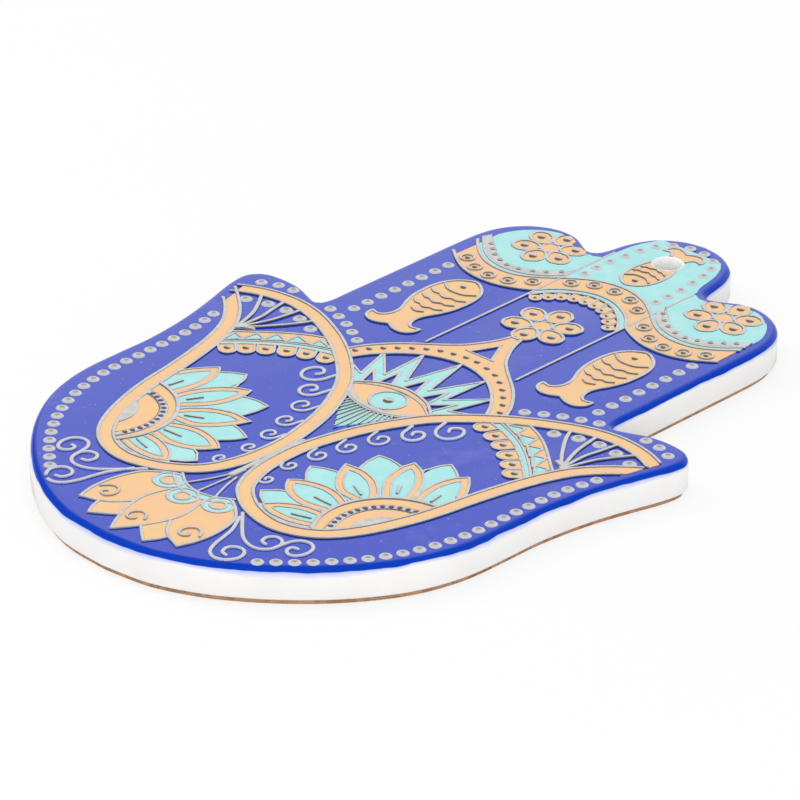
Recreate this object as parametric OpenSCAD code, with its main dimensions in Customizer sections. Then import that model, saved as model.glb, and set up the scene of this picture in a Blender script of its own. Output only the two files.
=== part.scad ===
// Hamsa hand wall plaque: a flat glazed ceramic hand with two thumbs, a hanging hole in the
// middle finger, raised lustre lines and dots, enamel fills between them, and a cork back.
// Millimetres, +Z up, the plaque lies face up with its cork on z = 0, fingers towards +Y.

/* [Plaque] */
// Length of the hand from the wrist curve to the tip of the middle finger
plate_l = 181; // [120:1:240]
// Thickness of the fired ceramic without glaze and cork
body_t = 6.7; // [4:0.1:10]
// Thickness of the blue glaze coat over the face
glaze_t = 0.3; // [0.2:0.05:0.6]
// How far the rounded edge of the face reaches in from the outline
edge_r = 1.8; // [1.2:0.1:2.6]
// Small bevel around the foot of the ceramic
foot_bevel = 0.5; // [0.2:0.1:1]

/* [Hanging hole] */
// Diameter of the hanging hole in the middle finger
hole_d = 6.2; // [4:0.1:7]
// Distance of the hole centre from the middle of the plaque
hole_y = 77.4; // [75:0.2:79]

/* [Back] */
// Thickness of the cork sheet
cork_t = 1.0; // [0.6:0.1:4]
// Thickness of the adhesive film between cork and ceramic
film_t = 0.15; // [0.1:0.05:0.4]
// How far the cork stays in from the outline
cork_inset = 0.9; // [0.5:0.1:4]
// Clearance of the hole in cork and film around the hanging hole
cork_hole_gap = 1; // [0.5:0.1:2]

/* [Decoration] */
// Width of the plain blue border that the decoration leaves free along the outline
border_w = 2.5; // [2:0.1:3]
// Sideways offset of the printed decoration on the plate
print_x = 0.9; // [-1:0.1:1]
// Lengthwise offset of the printed decoration on the plate
print_y = -0.6; // [-1:0.1:1]
// Width of the raised outline beads
line_w = 0.9; // [0.7:0.05:1.1]
// Width of the fine beads drawn inside the fills
detail_w = 0.55; // [0.4:0.05:0.7]
// Height of the raised beads above the glaze
line_h = 0.5; // [0.4:0.05:0.8]
// Height of the enamel fills above the glaze
pad_h = 0.22; // [0.15:0.01:0.3]
// Height of the fine beads and dots above the enamel
detail_h = 0.35; // [0.25:0.05:0.6]
// Gap left between a fill and the bead beside it
fit_gap = 0.05; // [0.03:0.01:0.08]
// Diameter of the dots in the dotted borders
dot_d = 2.7; // [1.8:0.1:2.9]
// Height of the border dots
dot_h = 0.5; // [0.3:0.1:1]
// Diameter of the small dots on the enamel
pip_d = 1.4; // [1:0.1:1.6]
// Distance between the two edge beads of the big loops, bead centre to bead centre
loop_w = 3.1; // [2.8:0.1:3.4]

/* [Hidden] */
// The hand is drawn at a length of 181 and scaled in plan by this factor
k = plate_l / 181;
z_film = cork_t;
z_body = z_film + film_t;
z_body_top = z_body + body_t;
z_face = z_body_top + glaze_t;
z_pad = z_face + pad_h;
lw = line_w / k;
dw = detail_w / k;
gap = fit_gap / k;
edge = edge_r / k;
border_in = max(border_w, edge_r + 0.1) / k;
// Height of the rosettes on the outer fingers, which follow the border above them
rosette_y = 68.7 - border_in;
left_rosette = [-23.5, rosette_y];
right_rosette = [23.9, rosette_y + 0.2];
centre_rosette = [-0.2, 37.1];
// Steps of the rounded edge: share of the radius gone inwards and share left below the face
round_in = [0.12, 0.42, 0.86];
round_down = [0.75, 0.32, 0.08];

// Curves through hand-placed points

// One point of a smooth curve between b and c, with a and d as its neighbours
function between(a, b, c, d, t) =
  0.5 * (2*b + (c - a)*t + (2*a - 5*b + 4*c - d)*t*t + (3*b - a - 3*c + d)*t*t*t);

function clampi(p, i) = p[max(0, min(len(p) - 1, i))];

// Smooth open curve through the points p with n steps between two points
function smooth(p, n = 2) =
  [for (i = [0:len(p) - 2]) for (j = [0:n - 1])
    between(clampi(p, i - 1), p[i], p[i + 1], clampi(p, i + 2), j / n), p[len(p) - 1]];

// Points in reverse order, and points mirrored in the centre line
function back(p) = [for (i = [len(p) - 1:-1:0]) p[i]];
function flip(p) = [for (q = p) [-q[0], q[1]]];
// A half outline that starts and ends on the centre line, completed by its mirror image
function whole(p) = concat(p, [for (i = [len(p) - 2:-1:1]) [-p[i][0], p[i][1]]]);
// A half curve that starts on the centre line, completed by its mirror image
function both(p) = concat([for (i = [len(p) - 1:-1:1]) [-p[i][0], p[i][1]]], p);

// Vector v at length 1
function unit(v) = v / max(norm(v), 0.0001);

// Direction square to the curve p at its point i, to the left of the way it runs
function side(p, i) =
  let (d = unit(clampi(p, i + 1) - clampi(p, i - 1))) [-d[1], d[0]];

// Outline of a ribbon of width w along the points p
function ribbon(p, w) =
  concat([for (i = [0:len(p) - 1]) p[i] + side(p, i) * w / 2],
    [for (i = [len(p) - 1:-1:0]) p[i] - side(p, i) * w / 2]);

// Bead of width w along a smooth curve through p, with round ends
module bead(p, w, n = 2) {
  q = smooth(p, n);
  polygon(ribbon(q, w));
  for (e = [q[0], q[len(q) - 1]])
    translate(e) circle(d = w, $fn = 8);
}

// Bead of width w along straight pieces with rounded corners
module zigzag(p, w) {
  for (i = [0:len(p) - 2])
    polygon(ribbon([p[i], p[i + 1]], w));
  for (q = p)
    translate(q) circle(d = w, $fn = 8);
}

// Bead around the edge of a flat shape
module rim(w) {
  difference() {
    offset(delta = w / 2) children();
    offset(delta = -w / 2) children();
  }
}

// n points spread evenly along the curve through p
function lengths(p, i = 0, s = 0) =
  i == len(p) - 1 ? [s] : concat([s], lengths(p, i + 1, s + norm(p[i + 1] - p[i])));
function point_at(p, l, s, i = 0) =
  i >= len(p) - 2 || s <= l[i + 1]
    ? p[i] + (p[i + 1] - p[i]) * (s - l[i]) / (l[i + 1] - l[i])
    : point_at(p, l, s, i + 1);
function spread(c, n) =
  let (p = smooth(c, 4), l = lengths(p), s = l[len(l) - 1])
    [for (j = [0:n - 1]) point_at(p, l, s * j / (n - 1))];

module dots(p, d, sides = 8) {
  for (q = p)
    translate(q) circle(d = d, $fn = sides);
}

// How the decoration is stacked on the face

// Places the printed decoration on the plate and scales it with the plate
module printed() scale([k, k, 1]) translate([print_x, print_y, 0]) children();

// A fill lies on the glaze and keeps the small gap to the beads around it
module fill() {
  translate([0, 0, z_face]) linear_extrude(height = pad_h)
    offset(delta = -fit_gap) scale([k, k]) translate([print_x, print_y]) children();
}

// A bead stands on the glaze
module raised(h = line_h) {
  translate([0, 0, z_face]) linear_extrude(height = h)
    offset(delta = -fit_gap / 4) scale([k, k]) translate([print_x, print_y]) children();
}

// Fine work stands on the enamel
module on_enamel(h = detail_h) {
  translate([0, 0, z_pad]) linear_extrude(height = h)
    offset(delta = -fit_gap / 4) scale([k, k]) translate([print_x, print_y]) children();
}

// Mirrors the right-hand motif to the left when s is -1
module hand(s) mirror([s < 0 ? 1 : 0, 0]) children();

// Outline of the hand, right half from the finger tip to the wrist

half_outline = [[0, 90.5], [5, 89.5], [9.9, 86.2], [12.4, 82.2], [13.6, 78.5], [14.2, 75],
  [14.8, 72.7], [16, 71.5], [18, 72.1], [22.4, 74.6], [26, 75.2], [29.5, 74.6], [33, 72.8],
  [36, 69.9], [38.2, 66], [39.3, 61.5], [39.6, 56], [39.6, 45], [39.6, 30], [39.6, 20],
  [39.6, 15.4], [40.6, 13], [43.8, 14], [47.2, 15.4], [51, 16], [54.6, 15.9], [57.3, 15.2],
  [59.5, 13.2], [60.4, 10.4], [59.7, 5.5], [58, -0.5], [56.4, -6.5], [55.1, -12.5],
  [54.2, -18.5], [53.6, -25], [53.5, -33], [53.2, -42], [52, -49], [49.7, -55.8],
  [46.2, -62.2], [41.5, -68.6], [35.8, -74.6], [29, -80.3], [21, -85.4], [11, -89.3], [0, -90.5]];
outline = whole(smooth(half_outline, 2));

module plate(inset = 0) offset(delta = -inset) scale([k, k]) polygon(outline);

module hole(extra = 0) {
  translate([0, hole_y * k]) circle(r = hole_d / 2 + extra, $fn = 32);
}

// The flat part of the face in the coordinates of the decoration
module flat_face(in = 0) {
  translate([-print_x, -print_y]) offset(delta = -edge - in) polygon(outline);
}

// The part of the face that the decoration covers, inside the plain border
module inner_face(out = 0) {
  translate([-print_x, -print_y]) offset(delta = out - border_in) polygon(outline);
}

// Everything up to the distance w from the middle line of the decoration
module within(w) translate([-w, -100]) square([2 * w, 200]);

module hole_in_print(extra) {
  translate([-print_x, hole_y - print_y]) circle(r = (hole_d / 2 + extra) / k, $fn = 24);
}

// Plate, glaze and back

// Level of step i of the rounded edge
function step_z(i) = z_body_top - round_down[i] * edge_r;

module ceramic_body() {
  color([0.93, 0.93, 0.92])
  difference() {
    union() {
      translate([0, 0, z_body])
        linear_extrude(height = foot_bevel)
        plate(foot_bevel / 2);
      translate([0, 0, z_body + foot_bevel])
        linear_extrude(height = step_z(0) - z_body - foot_bevel)
        plate();
      for (i = [0:1])
        translate([0, 0, step_z(i)])
          linear_extrude(height = step_z(i + 1) - step_z(i))
          plate(round_in[i] * edge_r + glaze_t);
      translate([0, 0, step_z(2)])
        linear_extrude(height = z_body_top - step_z(2))
        plate(round_in[2] * edge_r + glaze_t);
    }
    translate([0, hole_y * k, z_body - 1])
      cylinder(r = hole_d / 2, h = body_t + 2, $fn = 48);
  }
}

// Glaze on step i of the rounded edge: the upright skin and the skin that lies on the step above
module glaze_step(i) {
  translate([0, 0, step_z(i)])
    linear_extrude(height = step_z(i + 1) - step_z(i) + glaze_t)
    difference() {
      plate(round_in[i] * edge_r);
      plate(round_in[i] * edge_r + glaze_t);
    }
  translate([0, 0, step_z(i + 1)])
    linear_extrude(height = glaze_t)
    difference() {
      plate(round_in[i] * edge_r);
      plate(round_in[i + 1] * edge_r + glaze_t);
    }
}

module cobalt_glaze() {
  color([0.08, 0.12, 0.72])
  union() {
    glaze_step(0);
    glaze_step(1);
    translate([0, 0, step_z(2)])
      linear_extrude(height = z_face - step_z(2))
      difference() {
        plate(round_in[2] * edge_r);
        plate(round_in[2] * edge_r + glaze_t);
      }
    translate([0, 0, z_body_top])
      linear_extrude(height = glaze_t)
      difference() {
        plate(round_in[2] * edge_r);
        hole(0.3);
      }
  }
}

module adhesive_film() {
  color([0.82, 0.8, 0.72])
  translate([0, 0, z_film])
    linear_extrude(height = film_t)
    difference() {
      plate(cork_inset + 0.5);
      hole(cork_hole_gap);
    }
}

module cork_pad() {
  color([0.62, 0.42, 0.27])
  linear_extrude(height = cork_t)
    difference() {
      plate(cork_inset);
      hole(cork_hole_gap);
    }
}

// Fingers: fields, dividers and the wave band

divider = [[12.3, 14.8], [12.3, 40], [12.4, 60], [12.5, 70], [12.2, 77], [11.4, 81.5], [9.5, 86]];
wave_top = [[0, 62.4], [4, 61.8], [8, 60.1], [12.3, 56.8], [16, 53.6], [20, 51.4], [24, 50.8],
  [28, 51.4], [32, 53.6], [36, 57.2], [39, 61]];
wave_low = [[0, 56.2], [4, 55.5], [8, 53.3], [10.5, 51.1], [12.3, 48.8], [15.5, 46.8],
  [19.5, 45.2], [24, 44.7], [28.5, 45.4], [33, 47.6], [39, 52.4]];
side_strip = [[12.4, 59], [15, 55.7], [18, 53.6], [21.5, 52.4], [25, 52.2], [28.5, 53],
  [32, 55.1], [35, 58], [39, 62.4]];
// Upper edge of the lumpy band over each side wave, and the lumps on it
chain_top = [[12.4, 62], [13.7, 60.4], [17.2, 57.3], [19.2, 55.7], [22, 54.8], [25.3, 54.5],
  [28, 55.4], [30.8, 57.4], [33.5, 59.8], [39, 65]];
chain = [[13.9, 59], [16.2, 56.7], [18.5, 55.1], [21.4, 53.8], [24.4, 53.5], [27, 54.3],
  [29.5, 55.5], [31.6, 57.2], [33.6, 58.9]];
arch_strip = [[0, 54.8], [4, 54], [7.6, 51.6], [10.2, 48.9], [12.2, 45.8]];
rings = [[0, 59.7], [4.9, 58.9], [9.1, 56.3], [15.2, 51.1], [19.3, 48], [23.9, 47],
  [28.5, 47.9], [32.6, 50.2]];
// Width of the enamel and of the beads on the side fingers, out from the middle line
enamel_to = 35.6;
beads_to = 37.3;

module divider_line() bead(divider, lw * 0.7);

// Turquoise ground of the finger tips above the wave band
module tips_ground() {
  intersection() {
    translate([-0.3, 0.3]) inner_face(0.3);
    polygon(concat(both(smooth(wave_top, 2)), [[39, 95], [-39, 95]]));
  }
}

// Silver band between the turquoise strip and the side field
module chain_area() {
  difference() {
    intersection() {
      polygon(concat(smooth(chain_top, 2), back(smooth(side_strip, 2))));
      translate([12.4, 50]) square([beads_to - 12.4, 30]);
    }
    offset(delta = gap) bead(side_strip, lw * 0.8);
  }
}

module middle_tip() {
  intersection() {
    tips_ground();
    polygon(concat(smooth(divider, 2), flip(back(smooth(divider, 2)))));
  }
}

module side_tip() {
  difference() {
    intersection() {
      inner_face();
      polygon(concat(smooth(chain_top, 2), [[39, 80], [12.4, 80]]));
      translate([12.4, 50]) square([enamel_to - 12.4, 30]);
    }
    divider_line();
  }
}

module fingertip_field_middle() {
  color([0.66, 0.93, 0.92])
  fill() difference() {
    middle_tip();
    bead(both(wave_top), lw);
    divider_line();
    hand(-1) divider_line();
    middle_fish_place() offset(delta = lw / 2 / 0.745) fish_shape();
    hole_in_print(0.4);
  }
}

module fingertip_field(s) {
  color([0.66, 0.93, 0.92])
  fill() intersection() {
    hand(s) difference() {
      side_tip();
      translate(s < 0 ? flip([left_rosette])[0] : right_rosette) rosette_area(5.5);
    }
    inner_face();
  }
}
module fingertip_field_left() fingertip_field(-1);
module fingertip_field_right() fingertip_field(1);

// Dividers between the fingers and the beaded chain over the side wave
module finger_lines() {
  color([0.75, 0.75, 0.78])
  union() {
    raised() intersection() {
      inner_face();
      for (s = [-1, 1]) hand(s) {
        divider_line();
        chain_area();
      }
    }
    translate([0, 0, line_h - pad_h]) on_enamel(0.15) intersection() {
      inner_face();
      for (s = [-1, 1]) hand(s) dots(chain, 1.3, 8);
    }
  }
}

module wave_lines() {
  bead(both(wave_top), lw);
  bead(both(wave_low), lw);
  for (s = [-1, 1]) hand(s) intersection() {
    bead(side_strip, lw * 0.8);
    translate([12.3, 40]) square([30, 30]);
  }
}

// The gold ground between the two waves
module wave_ground() {
  intersection() {
    inner_face();
    within(enamel_to);
    polygon(concat(both(smooth(wave_top, 2)), back(both(smooth(wave_low, 2)))));
  }
}

module wave_band_gold() {
  color([1, 0.8, 0.58])
  fill() difference() {
    wave_ground();
    wave_lines();
    divider_line();
    hand(-1) divider_line();
  }
}

module wave_band_lines() {
  color([0.75, 0.75, 0.78])
  raised() intersection() {
    inner_face();
    within(beads_to);
    difference() {
      union() {
        wave_lines();
        bead(both(arch_strip), lw * 0.8);
      }
      offset(delta = gap) divider_line();
      offset(delta = gap) hand(-1) divider_line();
    }
  }
}

module wave_band_rings() {
  color([0.75, 0.75, 0.78])
  on_enamel() for (s = [-1, 1]) hand(s)
    for (i = [s < 0 ? 1 : 0:len(rings) - 1]) translate(rings[i]) {
      difference() {
        circle(r = 1.75, $fn = 12);
        circle(r = 1.15, $fn = 12);
      }
      circle(r = 0.55, $fn = 6);
    }
}

// Thin turquoise strips: under the middle wave and over the side waves
module wave_strip_turquoise() {
  color([0.66, 0.93, 0.92])
  fill() intersection() {
    inner_face();
    within(enamel_to);
    difference() {
      union() {
        polygon(concat(both(smooth([for (i = [0:4]) wave_low[i]], 2)),
          back(both(smooth(arch_strip, 2)))));
        for (s = [-1, 1]) hand(s)
          polygon(concat(smooth([for (i = [3:10]) wave_top[i]], 2), back(smooth(side_strip, 2))));
      }
      wave_lines();
      bead(both(arch_strip), lw * 0.8);
      divider_line();
      hand(-1) divider_line();
    }
  }
}

// Row of round-ended lobes hanging inside the middle wave: foot, round end
lobes = [[[1.35, 54.3], [1.25, 51.7]], [[4.15, 53.5], [3.8, 51.1]], [[6.9, 51.8], [6.2, 49.8]],
  [[9.1, 49.7], [8.1, 48]], [[10.9, 47.2], [9.9, 45.9]]];

module lobe(i) {
  polygon(ribbon(lobes[i], 2.3));
  translate(lobes[i][1]) circle(d = 2.3, $fn = 10);
}

module scallop_arch_gold() {
  color([1, 0.8, 0.58])
  fill() difference() {
    for (s = [-1, 1]) hand(s) for (i = [0:4]) offset(delta = -dw / 2) lobe(i);
    bead(both(arch_strip), lw * 0.8);
    divider_line();
    hand(-1) divider_line();
  }
}

module scallop_arch_lines() {
  color([0.75, 0.75, 0.78])
  union() {
    raised() difference() {
      for (s = [-1, 1]) hand(s) for (i = [0:4]) rim(dw) lobe(i);
      offset(delta = gap) bead(both(arch_strip), lw * 0.8);
      for (s = [-1, 1]) hand(s) {
        offset(delta = gap) divider_line();
        for (i = [0:4]) offset(delta = -dw / 2) lobe(i);
      }
    }
    on_enamel() for (s = [-1, 1]) hand(s) for (l = lobes) translate(l[1]) circle(d = 0.7, $fn = 6);
  }
}

// Rosettes: six petals around a round heart

half_petal = [[2.1, 0], [2.8, 1.25], [4.6, 2.35], [6.7, 2.2], [8, 0.9], [8.2, 0]];
petal = concat(smooth(half_petal, 1), [for (i = [4:-1:1]) [half_petal[i][0], -half_petal[i][1]]]);

module rosette_petals(r) {
  for (i = [0:5])
    rotate(90 + 60 * i) scale(r / 5.6) polygon(petal);
}

module rosette_area(r) {
  offset(delta = lw / 2) rosette_petals(r);
  circle(r = 3, $fn = 16);
}

module rosette_gold(r) {
  offset(delta = -lw / 2) rosette_petals(r);
  circle(r = 1.75, $fn = 16);
}

module rosette_lines(r) {
  difference() {
    rosette_area(r);
    offset(delta = -lw / 2) rosette_petals(r);
    circle(r = 1.75, $fn = 16);
  }
}

module rosette_pips(r) {
  for (i = [0:5])
    rotate(90 + 60 * i) translate([r, 0]) circle(d = pip_d * 1.3, $fn = 8);
}

module gold_rosette(at, r) {
  color([1, 0.8, 0.58])
  fill() intersection() {
    flat_face();
    translate(at) rosette_gold(r);
  }
}

module line_rosette(at, r) {
  color([0.75, 0.75, 0.78])
  union() {
    raised() intersection() {
      flat_face();
      translate(at) rosette_lines(r);
    }
    on_enamel() intersection() {
      flat_face(0.3);
      translate(at) rosette_pips(r);
    }
  }
}

module rosette_left_gold() gold_rosette(left_rosette, 5.5);
module rosette_left_lines() line_rosette(left_rosette, 5.5);
module rosette_right_gold() gold_rosette(right_rosette, 5.5);
module rosette_right_lines() line_rosette(right_rosette, 5.5);
module rosette_centre_gold() gold_rosette(centre_rosette, 5.7);
module rosette_centre_lines() line_rosette(centre_rosette, 5.7);

// Fish: nose at the origin, tail towards -Y

fish_flank = [[0, 0], [2.9, -1.6], [4.7, -4.1], [5.5, -7.2], [5.6, -10.3], [5.3, -13.5],
  [4.4, -16.6], [3.2, -19.3], [2.7, -21.6], [3.1, -23.8], [4.5, -25.2], [6.5, -24.8]];
fish_tail = [[6.5, -24.8], [6.5, -26.2], [5.7, -27.6], [4, -28.4], [2, -28.1], [0, -27]];
module fish_shape() polygon(whole(concat(smooth(fish_flank, 2), smooth(fish_tail, 2))));

gill = [[-4.2, -5], [-2.3, -6.5], [0, -6.9], [2.3, -6.5], [4.2, -5]];
scale_row = [[-4.6, 0.9], [-3.1, 0], [-1.7, 0.1], [0, -0.7], [1.7, 0.1], [3.1, 0], [4.6, 0.9]];

// Gill arc, three rows of scales, the tail arc and the eye dot
module fish_marks() {
  bead(gill, dw);
  for (j = [0:2])
    bead([for (q = scale_row) [q[0] * (1 - 0.09 * j), q[1] - 9.6 - 3.15 * j]], dw, 1);
  bead([[-1.5, -18.3], [0, -19], [1.5, -18.3]], dw);
  translate([-0.3, -3.7]) circle(d = pip_d, $fn = 8);
}

module side_fish_place(s) translate([s * 23.4, 42.7]) children();
module middle_fish_place() translate([-0.7, 64]) rotate(180) scale(0.745) children();

module side_fish_gold(s) {
  color([1, 0.8, 0.58])
  fill() side_fish_place(s) offset(delta = -lw / 2) fish_shape();
}
module side_fish_lines(s) {
  color([0.75, 0.75, 0.78])
  union() {
    raised() side_fish_place(s) rim(lw) fish_shape();
    on_enamel() side_fish_place(s) fish_marks();
  }
}
module fish_left_gold() side_fish_gold(-1);
module fish_left_lines() side_fish_lines(-1);
module fish_right_gold() side_fish_gold(1);
module fish_right_lines() side_fish_lines(1);

module fish_middle_gold() {
  color([1, 0.8, 0.58])
  fill() difference() {
    middle_fish_place() offset(delta = -lw / 2 / 0.745) fish_shape();
    hole_in_print(0.4);
  }
}
module fish_middle_lines() {
  color([0.75, 0.75, 0.78])
  union() {
    raised() difference() {
      middle_fish_place() rim(lw / 0.745) fish_shape();
      hole_in_print(0.4);
    }
    on_enamel() difference() {
      middle_fish_place() fish_marks();
      hole_in_print(0.9);
    }
  }
}

// Big loops that frame the thumbs and the lotus

loop = [[61, 2.6], [57.5, 5.2], [52, 7.9], [45, 9.1], [38, 8.1], [31, 5.2], [24, 1.1],
  [17.5, -4.1], [11.9, -10], [8, -16.7], [5.1, -23.6], [3.1, -31], [2, -37.5], [2, -44],
  [2.9, -50.5], [5.5, -56.8], [10, -60.9], [15, -63.3], [20.5, -64.2], [26, -62.7],
  [30.5, -59.2], [34.2, -53.2], [37.2, -45], [38.9, -38], [40.2, -30], [41.8, -22],
  [43.9, -14], [46.7, -7.4], [50.5, -2.4], [55, 1.7], [60, 5.6]];
lp = loop_w / k;

module loop_band(extra = 0) polygon(ribbon(smooth(loop, 2), lp + lw + extra));
module loop_gold() {
  intersection() {
    inner_face();
    polygon(ribbon(smooth(loop, 2), lp - lw));
  }
}
module both_loops(extra = 0) {
  loop_band(extra);
  hand(-1) loop_band(extra);
}
// Silver ground where the two loops run side by side
waist_half = [[0, -33.5], [0.9, -37], [0.9, -46], [1.5, -51], [1.6, -54], [0, -56.5]];
module waist() polygon(whole(waist_half));

module gold_loop(s) {
  color([1, 0.8, 0.58])
  fill() intersection() {
    inner_face();
    hand(s) loop_gold();
  }
}
// The loop's two edge beads; each loop keeps to its own half of the plaque
module line_loop(s) {
  color([0.75, 0.75, 0.78])
  raised() intersection() {
    inner_face();
    hand(s) difference() {
      union() {
        loop_band();
        waist();
      }
      polygon(ribbon(smooth(loop, 2), lp - lw));
      translate([-20 + gap, -100]) square([20, 200]);
    }
  }
}
module loop_left_gold() gold_loop(-1);
module loop_left_lines() line_loop(-1);
module loop_right_gold() gold_loop(1);
module loop_right_lines() line_loop(1);

// Arch with a spire over the eye

arch_out = [[0, 31], [1.1, 29], [1.7, 26.8], [2.7, 24.2], [4, 21.8], [5.6, 19.3], [7.8, 17],
  [10, 15.1], [12.3, 13.2], [14.8, 11], [17, 8.6], [18.9, 6.1], [20.4, 3.6], [22, 0]];
arch_in = [[0, 12.4], [3, 12.1], [6, 11.2], [8.8, 9.9], [11, 8.3], [13, 6.5], [15, 4.3],
  [16.8, 1.9], [18.6, -1.5]];
arch_dots = [[1.5, 15.1], [7.6, 13.5], [12.8, 9.9], [17.3, 5.2], [19.7, 1.6]];
window = [[0, 24], [2.8, 17.7], [-2.8, 17.7]];

module arch_edges() {
  bead(both(arch_out), lw);
  bead(both(arch_in), lw);
  rim(lw * 0.8) polygon(window);
  bead([[-3.8, 17.7], [3.6, 17.7]], lw * 0.8);
}

module arch_gold() {
  color([1, 0.8, 0.58])
  fill() difference() {
    polygon(concat(both(smooth(arch_out, 2)), back(both(smooth(arch_in, 2)))));
    arch_edges();
    polygon(window);
    both_loops();
    translate(centre_rosette) rosette_area(5.7);
  }
}

module arch_lines() {
  color([0.75, 0.75, 0.78])
  union() {
    raised() difference() {
      arch_edges();
      both_loops(2 * gap);
      translate(centre_rosette) offset(delta = gap) rosette_area(5.7);
      for (s = [-1, 1]) hand(s) offset(delta = gap) divider_line();
    }
    on_enamel() {
      dots(spread(arch_dots, 8), pip_d);
      hand(-1) dots(spread(arch_dots, 9), pip_d);
    }
  }
}

// Crown of rays over the eye

rays_out = [[0, 12], [3.1, -1.4], [8.4, 9.8], [8, -2.3], [14.9, 5.1], [11.9, -5.2], [18, -2.2]];
notches = [[[-1.9, -4.4], [0, 2.2], [1.9, -4.4]], [[3.9, -4.6], [6.5, 1], [6.8, -5.6]],
  [[7.2, -6.2], [11.3, -1.9], [9.4, -8.2]]];
crease = [[0, -3.9], [5.3, -5.1], [8.2, -6.8], [11, -9.3]];
upper_lid = [[0, -5.5], [3.5, -5.9], [6.6, -7], [10, -9.2]];
lower_lid = [[0, -15.9], [3.5, -15.4], [6.5, -14.3], [9.4, -12], [10.4, -10.6]];
lower_lid_in = [[0, -14.5], [3.4, -14.2], [5.9, -13.2], [8.4, -11.5], [10, -9.8]];

module ray_edges() {
  for (s = [-1, 1]) hand(s) zigzag(rays_out, dw * 1.2);
  zigzag(notches[0], dw * 1.1);
  for (s = [-1, 1]) hand(s) for (i = [1:2]) zigzag(notches[i], dw * 1.1);
}

module ray_cutouts() {
  polygon(notches[0]);
  for (s = [-1, 1]) hand(s) for (i = [1:2]) polygon(notches[i]);
}

// Everything above the crease of the eyelid and inside the arch
module above_crease() {
  polygon(concat(both(smooth(crease, 2)), [[22, 0], [22, 20], [-22, 20], [-22, 0]]));
}

module ray_crown_turquoise() {
  color([0.66, 0.93, 0.92])
  fill() difference() {
    intersection() {
      polygon(concat(both(rays_out), [[12, -12], [-12, -12]]));
      above_crease();
    }
    ray_edges();
    ray_cutouts();
    bead(both(crease), lw);
    bead(both(arch_in), lw);
    both_loops();
  }
}

module ray_crown_lines() {
  color([0.75, 0.75, 0.78])
  raised() difference() {
    intersection() {
      ray_edges();
      above_crease();
    }
    offset(delta = gap) bead(both(crease), lw);
    offset(delta = gap) bead(both(arch_in), lw);
    both_loops(2 * gap);
  }
}

// Eye with lids, iris and pupil

iris = [0.3, -10.2];
iris_r = 3.9;

module eye_edges() {
  bead(both(crease), lw);
  bead(both(upper_lid), lw * 0.8);
  bead(both(lower_lid), lw * 0.9);
  bead(both(lower_lid_in), lw * 0.8);
  polygon(concat(both(smooth(lower_lid, 2)), back(both(smooth(lower_lid_in, 2)))));
  translate(iris) rim(lw * 0.9) circle(r = iris_r, $fn = 24);
}

module eye_gold() {
  color([1, 0.8, 0.58])
  fill() difference() {
    polygon(concat(both(smooth(crease, 2)), back(both(smooth(lower_lid, 2)))));
    eye_edges();
    translate(iris) circle(r = iris_r, $fn = 24);
    both_loops();
  }
}

module eye_iris() {
  color([0.66, 0.93, 0.92])
  fill() translate(iris) circle(r = iris_r - 0.45 * lw, $fn = 24);
}

module eye_lines() {
  color([0.75, 0.75, 0.78])
  raised() difference() {
    eye_edges();
    both_loops(2 * gap);
    translate(iris) circle(r = iris_r - 0.45 * lw, $fn = 24);
  }
}

module eye_pupil() {
  color([0.75, 0.75, 0.78])
  printed() translate([iris[0], iris[1], 0])
    translate([0, 0, z_pad]) cylinder(d1 = 2.3, d2 = 1.4, h = dot_h, $fn = 24);
}

// Lashes fan out under the eye down to a point
lash_point = [[7.4, -13.6], [3.6, -21], [0.2, -26.2], [-3.6, -21], [-7.4, -13.6]];

module lash_area() {
  difference() {
    polygon(concat(both(smooth(lower_lid, 2)), lash_point));
    polygon(concat(both(smooth(lower_lid, 2)), [[10, -5], [-10, -5]]));
    bead(both(lower_lid), lw * 0.9);
    both_loops(2 * gap);
  }
}

module lash_strokes() {
  for (i = [-7:7])
    translate([0.2, -4]) rotate(-90 + i * 4.45) translate([9, -dw * 0.37]) square([16, dw * 0.74]);
}

module lash_turquoise() {
  color([0.66, 0.93, 0.92])
  fill() offset(delta = -lw * 0.3) lash_area();
}

module lash_lines() {
  color([0.75, 0.75, 0.78])
  on_enamel(0.25) intersection() {
    offset(delta = -lw * 0.3 - gap) lash_area();
    lash_strokes();
  }
}

// Thumbs: fan, band of triangles, strip and lobes

band_top = [[25.5, 2.4], [30, 0.6], [33.2, -1.2], [36.2, -3.4], [39.2, -6], [41.8, -8.3], [45, -11]];
band_low = [[21, -1.1], [24, -2.1], [27, -3.3], [30, -4.7], [33, -6.6], [36, -8.9], [39, -11.5],
  [42.5, -15]];
strip_low = [[19.5, -2.6], [23, -3.4], [26.5, -4.6], [30, -6.2], [33, -8.3], [36, -10.6],
  [39, -13.3], [42.5, -17]];
fan_1 = [[34.7, 6], [36.5, 2.2], [40.2, -3.2], [43.4, -7]];
fan_2 = [[40.2, 7.6], [40.8, 3], [41.6, -1], [43.6, -6.6]];
fan_3 = [[45.4, 8], [44.6, 3], [43.9, -1], [44, -6.6]];
fan_4 = [[50.8, 6.6], [48.2, 2.6], [46.3, -1], [44.6, -6.6]];
fan = [fan_1, fan_2, fan_3, fan_4];
fan_dots = [[33.1, 2.6], [37.9, 4.5], [42.6, 5.4], [47.3, 4.9], [52.2, 3.3]];
thumb_pips = [[21.6, -5], [25.7, -6.5], [29.4, -8.4], [33, -10.8], [36.2, -13.3], [39, -15.9]];
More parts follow.
